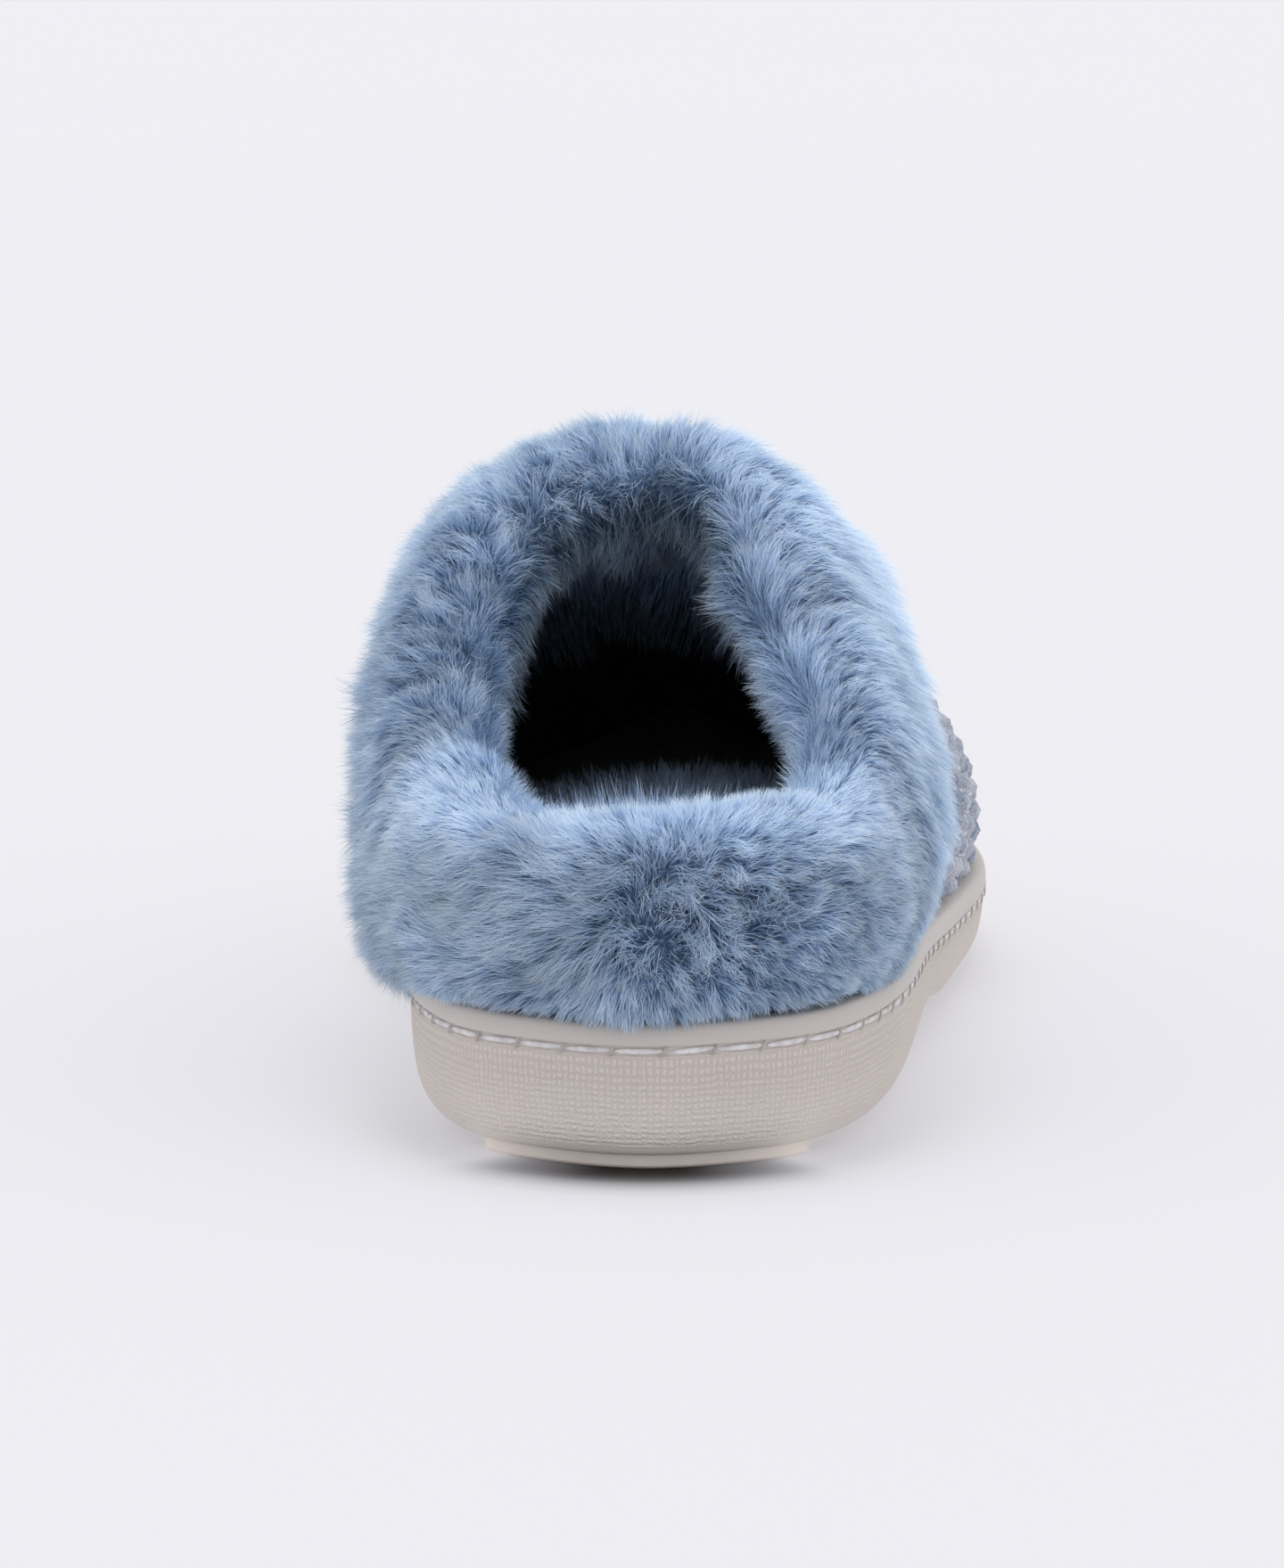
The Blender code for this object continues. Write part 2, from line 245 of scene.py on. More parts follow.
# ring round the topline's edge, at an angle from the outside over to the inside
def edgeRing(turn, angle, outside, over, inside):
    way = np.ones_like(turn)
    normal = upperNormal(turn, way)
    middle = upperFace(turn, way) - normal * last["wall"] / 2.0
    across = math.cos(math.radians(angle))
    side = np.reshape(outside if across > 0.0 else inside, (-1, 1))
    lift = upperClimb(turn, way) * np.reshape(over, (-1, 1)) * math.sin(math.radians(angle))
    return middle + normal * across * (last["wall"] / 2.0 + side) + lift


# angles that divide the collar evenly between its topline and its outer edge
def evenTurns(count):
    dense = np.linspace(0.0, 2.0 * math.pi, 6000)
    points = upperFace(dense, np.ones_like(dense)) + upperFace(dense, sectionAt("outerStop", dense))
    steps = np.linalg.norm(np.diff(points, axis=0), axis=1)
    length = running(steps)
    return np.interp(np.linspace(0.0, length[-1], count, endpoint=False), length, dense)


# soft seeded unevenness, about -1 to 1, of points in millimetres
def softNoise(points, wavelength, seed):
    draw = np.random.default_rng(seed)
    total = np.zeros(points.shape[:-1])
    for i in range(7):
        way = unit(draw.normal(size=3))
        stretch = draw.uniform(0.7, 1.4)
        total += np.sin(points @ way * (2.0 * math.pi / (wavelength * stretch)) + draw.uniform(0.0, 6.28))
    return total / 3.0


# corner cutting, which rounds a profile's edges
def roundedProfile(points, rounds):
    for i in range(rounds):
        low = points[:-1] * 0.75 + points[1:] * 0.25
        high = points[:-1] * 0.25 + points[1:] * 0.75
        middle = np.stack((low, high), axis=1).reshape(-1, points.shape[1])
        points = np.concatenate((points[:1], middle, points[-1:]))
    return points


def linkObject(name, mesh, material=None):
    if material:
        mesh.materials.append(material)
    made = bpy.data.objects.new(name, mesh)
    scene.collection.objects.link(made)
    return made


def toWorld(points):
    return (points + originShift) * mm


def ringFaces(index):
    ahead = np.roll(index, -1, axis=1)
    return np.stack((index[:-1], ahead[:-1], ahead[1:], index[1:]), axis=-1).reshape(-1, 4).tolist()


# closed tube of rings, with a UV map of metres round and across it
def tubeMesh(name, rings, capFirst=False, capLast=False):
    rows, count = rings.shape[:2]
    index = np.arange(rows * count).reshape(rows, count)
    faces = ringFaces(index)
    sides = len(faces)
    half = count // 2
    for wanted, ring, turned in ((capFirst, index[0], True), (capLast, index[-1], False)):
        if not wanted:
            continue
        cap = [[ring[0], ring[1], ring[-1]]]
        cap += [[ring[j], ring[j + 1], ring[-j - 1], ring[-j]] for j in range(1, half - 1)]
        cap.append([ring[half - 1], ring[half], ring[half + 1]])
        faces += [face[::-1] if turned else face for face in cap]
    mesh = bpy.data.meshes.new(name)
    places = toWorld(rings.reshape(-1, 3))
    mesh.from_pydata(places.tolist(), [], [[int(k) for k in face] for face in faces])
    closed = np.concatenate((rings, rings[:, :1]), axis=1)
    aroundLength = running(np.linalg.norm(np.diff(closed[rows // 2], axis=0), axis=1))
    acrossLength = running(ringSteps(rings))
    row, col = np.divmod(np.arange((rows - 1) * count), count)
    quad = ((0, 0), (0, 1), (1, 1), (1, 0))
    corners = np.stack(
        [np.stack((aroundLength[col + b], acrossLength[row + a]), axis=-1) for a, b in quad], axis=1
    )
    layer = mesh.uv_layers.new(name="Path")
    flat = np.zeros((len(mesh.loops), 2))
    flat[: sides * 4] = corners.reshape(-1, 2) * mm
    layer.data.foreach_set("uv", flat.ravel())
    mesh.shade_smooth()
    mesh.update()
    return mesh


def setAttribute(mesh, name, values, kind="FLOAT"):
    layer = mesh.attributes.new(name, kind, "POINT")
    field = "vector" if kind == "FLOAT_VECTOR" else "value"
    layer.data.foreach_set(field, np.ascontiguousarray(values, np.float32).ravel())


# what the growing trees read at each point: a vector or a value each, or one value for all
def setFields(mesh, fields):
    for name, values in fields.items():
        if np.ndim(values) == 0:
            values = np.full(len(mesh.vertices), values)
        isVector = np.ndim(values) > 1 and values.shape[-1] == 3
        setAttribute(mesh, "grow" + name, values, "FLOAT_VECTOR" if isVector else "FLOAT")


def setParts(mesh, owner):
    layer = mesh.attributes.new("growPart", "INT", "FACE")
    layer.data.foreach_set("value", np.ascontiguousarray(owner, np.int32).ravel())


# node helpers for both kinds of tree
def feed(tree, socket, value):
    if isinstance(value, bpy.types.NodeSocket):
        tree.links.new(value, socket)
    else:
        socket.default_value = value


def addNode(tree, kind, inputs=None, **settings):
    node = tree.nodes.new(kind)
    for name, value in settings.items():
        setattr(node, name, value)
    for name, value in (inputs or {}).items():
        feed(tree, node.inputs[name], value)
    return node


def mathNode(tree, operation, *values):
    node = addNode(tree, "ShaderNodeMath", operation=operation)
    for socket, value in zip(node.inputs, values):
        feed(tree, socket, value)
    return node.outputs[0]


def vectorNode(tree, operation, *values):
    node = addNode(tree, "ShaderNodeVectorMath", operation=operation)
    for place, value in enumerate(values):
        socket = node.inputs["Scale"] if operation == "SCALE" and place == 1 else node.inputs[place]
        feed(tree, socket, value)
    return node.outputs["Vector"]


def times(tree, *values):
    return mathNode(tree, "MULTIPLY", *values)


def plus(tree, *values):
    return mathNode(tree, "ADD", *values)


def minus(tree, *values):
    return mathNode(tree, "SUBTRACT", *values)


def power(tree, *values):
    return mathNode(tree, "POWER", *values)


def scaledBy(tree, vector, factor):
    return vectorNode(tree, "SCALE", vector, factor)


def summed(tree, *vectors):
    return vectorNode(tree, "ADD", *vectors)


def randomNode(tree, low, high, seed):
    node = addNode(tree, "FunctionNodeRandomValue", data_type="FLOAT")
    feed(tree, node.inputs[2], low)
    feed(tree, node.inputs[3], high)
    feed(tree, node.inputs["Seed"], seed)
    return node.outputs[1]


def splitNode(tree, vector):
    return addNode(tree, "ShaderNodeSeparateXYZ", {"Vector": vector}).outputs


def joinNode(tree, **values):
    return addNode(tree, "ShaderNodeCombineXYZ", values).outputs[0]


def turnedBy(tree, vector, axis, angle):
    inputs = {"Vector": vector, "Axis": axis, "Angle": angle}
    return addNode(tree, "ShaderNodeVectorRotate", inputs, rotation_type="AXIS_ANGLE").outputs[0]


def rotationTo(tree, first, firstAxis, second, secondAxis):
    inputs = {"Primary Axis": first, "Secondary Axis": second}
    axes = {"primary_axis": firstAxis, "secondary_axis": secondAxis}
    return addNode(tree, "FunctionNodeAxesToRotation", inputs, **axes).outputs[0]


def namedField(tree, name, kind="FLOAT"):
    return addNode(tree, "GeometryNodeInputNamedAttribute", {"Name": name}, data_type=kind).outputs["Attribute"]


def vectorField(tree, name):
    return namedField(tree, name, "FLOAT_VECTOR")


def fieldKind(value):
    return "FLOAT_VECTOR" if value.type == "VECTOR" else "FLOAT"


def storeField(tree, geometry, name, value, kind=None, domain="POINT"):
    inputs = {"Geometry": geometry, "Name": name, "Value": value}
    settings = {"data_type": kind or fieldKind(value), "domain": domain}
    return addNode(tree, "GeometryNodeStoreNamedAttribute", inputs, **settings).outputs["Geometry"]


# a growing tree's inputs are numbers, apart from those named here
inputKinds = {"Geometry": "Geometry", "Part": "Int", "Seed": "Int", "Material": "Material"}


def newTree(name, *labels):
    tree = bpy.data.node_groups.new(name, "GeometryNodeTree")
    for label in ("Geometry", *labels):
        kind = "NodeSocket" + inputKinds.get(label, "Float")
        tree.interface.new_socket(label, in_out="INPUT", socket_type=kind)
    tree.interface.new_socket("Geometry", in_out="OUTPUT", socket_type="NodeSocketGeometry")
    start = tree.nodes.new("NodeGroupInput")
    return tree, {socket.name: socket for socket in start.outputs if socket.name}


def closeTree(tree, geometry, material):
    soft = addNode(tree, "GeometryNodeSetShadeSmooth", {"Geometry": geometry})
    shown = addNode(tree, "GeometryNodeSetMaterial", {"Geometry": soft.outputs[0], "Material": material})
    end = tree.nodes.new("NodeGroupOutput")
    tree.links.new(shown.outputs[0], end.inputs[0])


# runs a tree on a base mesh and keeps the result as a plain mesh
def growMesh(name, base, tree, values):
    carrier = linkObject(name + "Base", base)
    modifier = carrier.modifiers.new(tree.name, "NODES")
    modifier.node_group = tree
    for item in tree.interface.items_tree:
        if item.in_out == "INPUT" and item.name in values:
            modifier[item.identifier] = values[item.name]
    carrier.update_tag()
    graph = bpy.context.evaluated_depsgraph_get()
    mesh = bpy.data.meshes.new_from_object(
        carrier.evaluated_get(graph), preserve_all_data_layers=True, depsgraph=graph
    )
    carrier.modifiers.remove(modifier)
    bpy.data.objects.remove(carrier)
    mesh.name = name
    for layer in [layer.name for layer in mesh.attributes if layer.name.startswith("grow")]:
        mesh.attributes.remove(mesh.attributes[layer])
    print(name, "triangles:", sum(len(face.vertices) - 2 for face in mesh.polygons))
    return linkObject(name, mesh)


def finishPiece(piece, node):
    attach(piece, "root")
    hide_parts(node)


# shared effects, one group each
def newGroup(name, inputs, outputs):
    tree = bpy.data.node_groups.new(name, "ShaderNodeTree")
    for label, kind, value in inputs:
        socket = tree.interface.new_socket(label, in_out="INPUT", socket_type="NodeSocket" + kind)
        if kind == "Float":
            socket.default_value = value
    for label, kind in outputs:
        tree.interface.new_socket(label, in_out="OUTPUT", socket_type="NodeSocket" + kind)
    start = tree.nodes.new("NodeGroupInput")
    end = tree.nodes.new("NodeGroupOutput")
    return tree, start.outputs, end.inputs


# low woven relief: threads over and under each other, a little crooked
def makeWeaveGroup():
    tree, given, put = newGroup(
        "wovenRelief",
        [("Vector", "Vector", None), ("Pitch", "Float", 0.001), ("Crooked", "Float", 0.35)],
        [("Height", "Float"), ("Gap", "Float")],
    )
    scaled = scaledBy(tree, given["Vector"], mathNode(tree, "DIVIDE", 1.0, given["Pitch"]))
    scaled = vectorNode(tree, "MULTIPLY", scaled, (0.88, 1.1, 1.0))
    drift = addNode(tree, "ShaderNodeTexNoise", {"Vector": scaled, "Scale": 0.35, "Detail": 2.0})
    shifted = vectorNode(tree, "SUBTRACT", drift.outputs["Color"], (0.5, 0.5, 0.5))
    amount = times(tree, given["Crooked"], 4.0)
    bent = summed(tree, scaled, scaledBy(tree, shifted, amount))
    parts = splitNode(tree, bent)
    cells = plus(tree, mathNode(tree, "FLOOR", parts["X"]), mathNode(tree, "FLOOR", parts["Y"]))
    # every third or so thread goes the wrong way, as in a coarse cloth
    cell = vectorNode(tree, "FLOOR", bent)
    stray = addNode(tree, "ShaderNodeTexWhiteNoise", {"Vector": cell}, noise_dimensions="2D")
    cells = plus(tree, cells, mathNode(tree, "LESS_THAN", stray.outputs["Value"], 0.3))
    overMask = mathNode(tree, "MODULO", mathNode(tree, "ABSOLUTE", cells), 2.0)
    humps = []
    for axis, other in (("X", "Y"), ("Y", "X")):
        hump = mathNode(tree, "SINE", times(tree, parts[axis], math.pi))
        bow = mathNode(tree, "SINE", times(tree, parts[other], math.pi))
        hump = power(tree, mathNode(tree, "ABSOLUTE", hump), 2.0)
        humps.append(times(tree, hump, power(tree, mathNode(tree, "ABSOLUTE", bow), 0.3)))
    mixed = addNode(
        tree, "ShaderNodeMix", {"Factor": overMask, "A": humps[0], "B": humps[1]}, data_type="FLOAT"
    )
    worn = addNode(tree, "ShaderNodeTexNoise", {"Vector": scaled, "Scale": 0.8, "Detail": 3.0})
    relief = times(tree, mixed.outputs["Result"], plus(tree, worn.outputs["Fac"], 0.35))
    tree.links.new(relief, put["Height"])
    tree.links.new(minus(tree, 1.0, mathNode(tree, "MINIMUM", relief, 1.0)), put["Gap"])
    return tree


# fibre or grain mottling at two scales
def makeFibreGroup():
    tree, given, put = newGroup(
        "fibreMottle",
        [("Vector", "Vector", None), ("Fine", "Float", 2500.0), ("Broad", "Float", 90.0)],
        [("Fine", "Float"), ("Broad", "Float")],
    )
    for label, detail in (("Fine", 3.0), ("Broad", 2.0)):
        noise = addNode(
            tree, "ShaderNodeTexNoise", {"Vector": given["Vector"], "Scale": given[label], "Detail": detail}
        )
        tree.links.new(noise.outputs["Fac"], put[label])
    return tree


weaveGroup = makeWeaveGroup()
fibreGroup = makeFibreGroup()


def newMaterial(name, roughness, sheen=0.0, specular=0.3):
    material = bpy.data.materials.new(name)
    material.use_nodes = True
    tree = material.node_tree
    shader = tree.nodes["Principled BSDF"]
    shader.inputs["Roughness"].default_value = roughness
    shader.inputs["Sheen Weight"].default_value = sheen
    shader.inputs["Specular IOR Level"].default_value = specular
    return material, tree, shader


def useGroup(tree, group, inputs):
    return addNode(tree, "ShaderNodeGroup", inputs, node_tree=group).outputs


def objectPlace(tree):
    return addNode(tree, "ShaderNodeTexCoord").outputs["Object"]


def mottleNode(tree, fine, broad):
    return useGroup(tree, fibreGroup, {"Vector": objectPlace(tree), "Fine": fine, "Broad": broad})


def rangeNode(tree, value, fromLow, fromHigh, toLow, toHigh):
    return addNode(
        tree, "ShaderNodeMapRange",
        {"Value": value, "From Min": fromLow, "From Max": fromHigh, "To Min": toLow, "To Max": toHigh},
    ).outputs["Result"]


def opaque(colour):
    return (*colour, 1.0) if isinstance(colour, tuple) else colour


def mixColour(tree, factor, low, high):
    node = addNode(tree, "ShaderNodeMix", {"Factor": factor}, data_type="RGBA")
    feed(tree, node.inputs[6], opaque(low))
    feed(tree, node.inputs[7], opaque(high))
    return node.outputs[2]


# colour and low relief of a surface
def paint(tree, shader, colour, height, depth):
    relief = addNode(tree, "ShaderNodeBump", {"Height": height, "Distance": depth, "Strength": 1.0})
    tree.links.new(colour, shader.inputs["Base Color"])
    tree.links.new(relief.outputs["Normal"], shader.inputs["Normal"])


soleLook = {
    "wall": (0.78, 0.705, 0.64),
    "darkMottleAndGapShade": (0.54, 0.48, 0.425),
    # painted light: the lighter colour low at the heel's back, where bounce from the floor is lost
    "foot": (0.98, 0.90, 0.82),
    # the lip's own colour, darkened partly as painted shade under the fur
    "lip": (0.61, 0.565, 0.53),
    # the tread is lighter than the wall's rubber, as painted light on the bars' faces
    "tread": (0.97, 0.885, 0.81),
    "pitch": 0.00084,
    "relief": 0.00016,
    "grain": 0.00006,
    "crooked": 0.22,
    # soft width of the woven band's edges
    "band": 0.0004,
    # heights over which the painted light low at the heel fades, and the way along over which it does
    "paintedLightHeights": (0.002, 0.014),
    "paintedLightAlong": (-0.135, -0.112),
    # the woven band's two edges, which the sole's profile sets
    "wovenFrom": 0.0,
    "wovenTo": 1.0,
}


# rubber: woven relief between the groove and the foot band, smooth elsewhere; painted shade darkens the weave's gaps,
# and painted light lightens the foot at the heel
def makeRubber(name, woven, colour):
    material, tree, shader = newMaterial(name, 0.55, specular=0.35)
    grain = mottleNode(tree, 4200.0, 55.0)
    fine = times(tree, grain["Fine"], 0.25)
    shade = rangeNode(tree, grain["Broad"], 0.3, 0.7, 0.0, 0.35)
    if not woven:
        paint(tree, shader, mixColour(tree, shade, colour, soleLook["darkMottleAndGapShade"]), fine, soleLook["grain"])
        return material
    path = addNode(tree, "ShaderNodeUVMap", uv_map="Path").outputs["UV"]
    weave = useGroup(
        tree, weaveGroup, {"Vector": path, "Pitch": soleLook["pitch"], "Crooked": soleLook["crooked"]}
    )
    across = splitNode(tree, path)["Y"]
    low, high, band = soleLook["wovenFrom"], soleLook["wovenTo"], soleLook["band"]
    mask = times(
        tree, rangeNode(tree, across, low - band, low + band, 0.0, 1.0),
        rangeNode(tree, across, high - band, high + band, 1.0, 0.0),
    )
    # painted shade: the weave's gaps darken towards the dark colour, which also takes the broad random mottle
    gap = times(tree, times(tree, weave["Gap"], mask), 0.7)
    base = mixColour(tree, mask, soleLook["lip"], colour)
    base = mixColour(tree, gap, base, soleLook["darkMottleAndGapShade"])
    base = mixColour(tree, times(tree, shade, 0.4), base, soleLook["darkMottleAndGapShade"])
    # painted light: lighter low at the heel
    parts = splitNode(tree, objectPlace(tree))
    paintedLowLight = times(
        tree, rangeNode(tree, parts["Z"], *soleLook["paintedLightHeights"], 1.0, 0.0),
        rangeNode(tree, parts["Y"], *soleLook["paintedLightAlong"], 0.9, 0.3),
    )
    base = mixColour(tree, paintedLowLight, base, soleLook["foot"])
    tree.links.new(rangeNode(tree, mask, 0.0, 1.0, 0.42, 0.62), shader.inputs["Roughness"])
    relief = plus(tree, times(tree, weave["Height"], mask), fine)
    paint(tree, shader, base, relief, soleLook["relief"])
    return material


# pile strands: colour runs from root to tip and by each strand's shade, which holds painted light and shade besides
# random tone; the lightest strands also turn whiter, partly as painted highlight
def makePile(name, look):
    material, tree, shader = newMaterial(name, 0.7, sheen=look["sheen"], specular=0.1)
    parts = splitNode(tree, addNode(tree, "ShaderNodeUVMap", uv_map="OFBake").outputs["UV"])
    ramp = addNode(tree, "ShaderNodeValToRGB", {"Fac": parts["Y"]})
    stops = ramp.color_ramp.elements
    stops[0].color = opaque(look["root"])
    stops[1].color = opaque(look["tip"])
    stops.new(0.45).color = opaque(look["middle"])
    coolShare = rangeNode(tree, parts["X"], 0.55, 1.0, 0.0, 0.5)
    tinted = mixColour(tree, coolShare, ramp.outputs["Color"], look["cool"])
    gain = rangeNode(tree, parts["X"], 0.0, 1.0, 0.37, 1.48)
    tree.links.new(scaledBy(tree, tinted, gain), shader.inputs["Base Color"])
    return material


def makeCloth(name, dark, light, fine, depth, sheen):
    material, tree, shader = newMaterial(name, 0.9, sheen=sheen, specular=0.12)
    mottle = mottleNode(tree, fine, 120.0)
    amount = times(tree, plus(tree, mottle["Fine"], mottle["Broad"]), 0.5)
    colour = mixColour(tree, rangeNode(tree, amount, 0.35, 0.65, 0.0, 1.0), dark, light)
    paint(tree, shader, colour, mottle["Fine"], depth)
    return material


# yarn: a shade for each stitch, mottled by its fibres
def makeYarn(name, dark, light):
    material, tree, shader = newMaterial(name, 0.85, sheen=0.25, specular=0.15)
    shade = addNode(tree, "ShaderNodeAttribute", attribute_name="yarnShade").outputs["Fac"]
    mottle = mottleNode(tree, 3000.0, 400.0)
    amount = plus(tree, shade, rangeNode(tree, mottle["Fine"], 0.3, 0.7, -0.25, 0.25))
    paint(tree, shader, mixColour(tree, amount, dark, light), mottle["Fine"], 0.0003)
    return material


# the cup sole
sole = {
    "columns": 240,
    # share of the height from base to lip, drop below that, inset; the rings go up the outside and down inside
    "side": columns(
        "share drop inset",
        (0, 0, 9), (0, 0, 3.4), (0.07, 0, 2.3), (0.19, 0, 1.3), (0.38, 0, 0.75), (0.56, 0, 0.5),
        (1, 5.2, 0.4), (1, 4.9, 0.45), (1, 4.65, 0.68), (1, 3.55, 0.68), (1, 3.3, 0.15), (1, 3.0, 0.05),
        (1, 1.8, 0), (1, 0.6, 0.25), (1, 0, 0.9), (1, 0, 3.5), (1, 0.4, 4), (1, 3, 4),
    ),
    "barGap": 1.7,
    "barInset": 8.0,
    "heelBarInset": 4.0,
    "barRounding": 1.6,
    # inset and drop of a bar's rings
    "barEdge": ((0.0, -1.0), (0.0, 1.4), (0.12, 1.65), (0.4, 1.87), (1.0, 2.0)),
    "strips": 36,
    # first and last strip, from heel to toe, that each tread bar takes
    "bars": ((0, 5), (6, 7), (8, 9), (10, 11), (12, 12), (19, 19), (20, 20), (21, 21), (22, 22), (23, 23),
             (24, 25), (26, 27), (28, 29), (30, 33)),
    "groove": 4.1,
    "pathSteps": 720,
    "stitchPitch": 0.0078,
    "stitchSeed": 4,
    # piece and material; inset, lead in stitches, length, width and slant; dark and light colour, roughness
    "seams": (
        ("soleStitches", "seamThread", 0.5, 0.0, 0.0076, 0.0009, 0.0,
         (0.68, 0.64, 0.65), (0.97, 0.95, 0.96), 0.6),
        # the marks at the needle holes are dark as painted shade in the holes
        ("stitchHoles", "seamHole", 0.12, 0.5, 0.0021, 0.0004, 1.05,
         (0.51, 0.465, 0.43), (0.65, 0.595, 0.555), 0.8),
    ),
}


def makeSole():
    turn = wholeTurn(sole["columns"])
    base = baseHeight(turn)
    lip = heightAt("lip", turn)
    profile = roundedProfile(np.stack(list(sole["side"].values()), axis=-1), 2)
    rings = [soleRing(turn, inset, base + share * (lip - base) - drop) for share, drop, inset in profile]
    rings.append(soleRing(turn, last["lipWidth"], heightAt("floor", turn)))
    rings = np.array(rings)
    reached = running(ringSteps(rings))
    # the weave starts above the rounded foot and ends under the groove
    wallRow = np.nonzero((profile[:, 0] > 0.06) & (profile[:, 2] < 2.4))[0][0]
    grooveRow = np.nonzero(profile[:, 1] > 4.8)[0][-1]
    soleLook["wovenFrom"] = float(reached[wallRow] * mm)
    soleLook["wovenTo"] = float(reached[grooveRow] * mm)
    mesh = tubeMesh("cupSole", rings, capFirst=True, capLast=True)
    return linkObject("cupSole", mesh, makeRubber("soleRubber", True, soleLook["wall"]))


# bars across the underside, with a rounded lower edge
def makeTread():
    body = bmesh.new()
    strip = math.pi / sole["strips"]
    for first, final in sole["bars"]:
        steps = 6 * (final - first + 1) + 1
        slack = sole["barGap"] / last["length"] * 2.0 / max(math.sin(strip * (first + final + 1) / 2.0), 0.2)
        slack = slack if first else 0.2 * slack
        start = first * strip + slack if first else 0.002
        inset = sole["barInset" if first else "heelBarInset"]
        right = np.linspace(start, (final + 1) * strip - slack, steps)
        turn = np.concatenate((right, 2.0 * math.pi - right[::-1]))
        ends = smooth(0.86, 1.0, np.linspace(0.0, 1.0, steps)) * sole["barRounding"]
        rounding = np.concatenate((ends, ends[::-1]))[:, None]
        rings = []
        for grow, drop in sole["barEdge"]:
            ring = soleRing(turn, inset + grow + rounding, baseHeight(turn) - drop)
            rings.append([body.verts.new(place) for place in toWorld(ring)])
        count = len(turn)
        for low, high in zip(rings[:-1], rings[1:]):
            for j in range(count):
                k = (j + 1) % count
                body.faces.new((high[j], high[k], low[k], low[j]))
        for ring in (rings[0], rings[-1]):
            for j in range(steps - 1):
                body.faces.new((ring[j], ring[j + 1], ring[count - 2 - j], ring[count - 1 - j]))
    bmesh.ops.recalc_face_normals(body, faces=body.faces)
    mesh = bpy.data.meshes.new("treadBars")
    body.to_mesh(mesh)
    body.free()
    return linkObject("treadBars", mesh, makeRubber("treadRubber", False, soleLook["tread"]))


# thread laid along the groove in long stitches, each dipping into its holes
def makeStitchTree():
    tree, given = newTree(
        "lockStitch", "Pitch", "Stitch Length", "Thread Width", "Slant", "Seed", "Material"
    )
    path = addNode(tree, "GeometryNodeMeshToCurve", {"Mesh": given["Geometry"]}).outputs["Curve"]
    spots = addNode(tree, "GeometryNodeResampleCurve", {"Curve": path, "Length": given["Pitch"]}, mode="LENGTH")
    half = times(tree, given["Stitch Length"], 0.5)
    dip = times(tree, given["Thread Width"], -0.45)
    ends = {
        "Start": joinNode(tree, X=times(tree, half, -1.0), Z=dip),
        "Middle": joinNode(tree, Z=times(tree, given["Thread Width"], 0.55)),
        "End": joinNode(tree, X=half, Z=dip),
    }
    bow = addNode(tree, "GeometryNodeCurveQuadraticBezier", {"Resolution": 9, **ends})
    factor = addNode(tree, "GeometryNodeSplineParameter").outputs["Factor"]
    swell = power(tree, mathNode(tree, "SINE", times(tree, factor, math.pi)), 0.4)
    swell = plus(tree, times(tree, swell, 0.65), 0.35)
    bow = addNode(tree, "GeometryNodeSetCurveRadius", {"Curve": bow.outputs[0], "Radius": swell})
    ring = addNode(
        tree, "GeometryNodeCurvePrimitiveCircle",
        {"Resolution": 8, "Radius": times(tree, given["Thread Width"], 0.5)},
    )
    thread = addNode(
        tree, "GeometryNodeCurveToMesh",
        {"Curve": bow.outputs[0], "Profile Curve": ring.outputs["Curve"], "Scale": swell, "Fill Caps": True},
    )
    out = vectorField(tree, "growOut")
    slant = plus(tree, given["Slant"], randomNode(tree, -0.06, 0.06, plus(tree, given["Seed"], 1.0)))
    way = turnedBy(tree, addNode(tree, "GeometryNodeInputTangent").outputs[0], out, slant)
    length = randomNode(tree, 0.93, 1.03, given["Seed"])
    placed = addNode(
        tree, "GeometryNodeInstanceOnPoints",
        {"Points": spots.outputs["Curve"], "Instance": thread.outputs["Mesh"],
         "Rotation": rotationTo(tree, way, "X", out, "Z"), "Scale": joinNode(tree, X=length, Y=1.0, Z=0.8)},
    )
    real = addNode(tree, "GeometryNodeRealizeInstances", {"Geometry": placed.outputs[0]})
    closeTree(tree, real.outputs[0], given["Material"])
    return tree


# a mark at every break between two stitches starts half a stitch further on
def groovePath(name, inset, lead):
    turn = wholeTurn(sole["pathSteps"])
    path = soleRing(turn, inset, heightAt("lip", turn) - sole["groove"])
    if lead:
        length = np.linalg.norm(np.roll(path, -1, axis=0) - path, axis=1)
        pitch = length.sum() * mm / max(round(length.sum() * mm / sole["stitchPitch"]), 1)
        turn = turn + np.interp(lead * pitch, np.cumsum(length) * mm, turn)
        path = soleRing(turn, inset, heightAt("lip", turn) - sole["groove"])
    mesh = bpy.data.meshes.new(name)
    edges = [(i, (i + 1) % len(path)) for i in range(len(path))]
    mesh.from_pydata(toWorld(path).tolist(), edges, [])
    setFields(mesh, {"Out": outward(soleLoop, turn)})
    return mesh


def makeThread(name, dark, light, roughness):
    thread, tree, shader = newMaterial(name, roughness, specular=0.25)
    mottle = mottleNode(tree, 5000.0, 500.0)
    tone = rangeNode(tree, mottle["Broad"], 0.3, 0.7, 0.0, 1.0)
    paint(tree, shader, mixColour(tree, tone, dark, light), mottle["Fine"], 0.0002)
    return thread


def makeStitches():
    tree = makeStitchTree()
    pieces = []
    for name, materialName, inset, lead, length, width, slant, *look in sole["seams"]:
        pieces.append(growMesh(
            name, groovePath(name + "Path", inset, lead), tree,
            {"Pitch": sole["stitchPitch"], "Stitch Length": length, "Thread Width": width, "Slant": slant,
             "Seed": sole["stitchSeed"], "Material": makeThread(materialName, *look)},
        ))
    return pieces


finishPiece(makeSole(), "outsole")
finishPiece(makeTread(), "outsole")
for piece in makeStitches():
    finishPiece(piece, "outsole")
print("sole done")

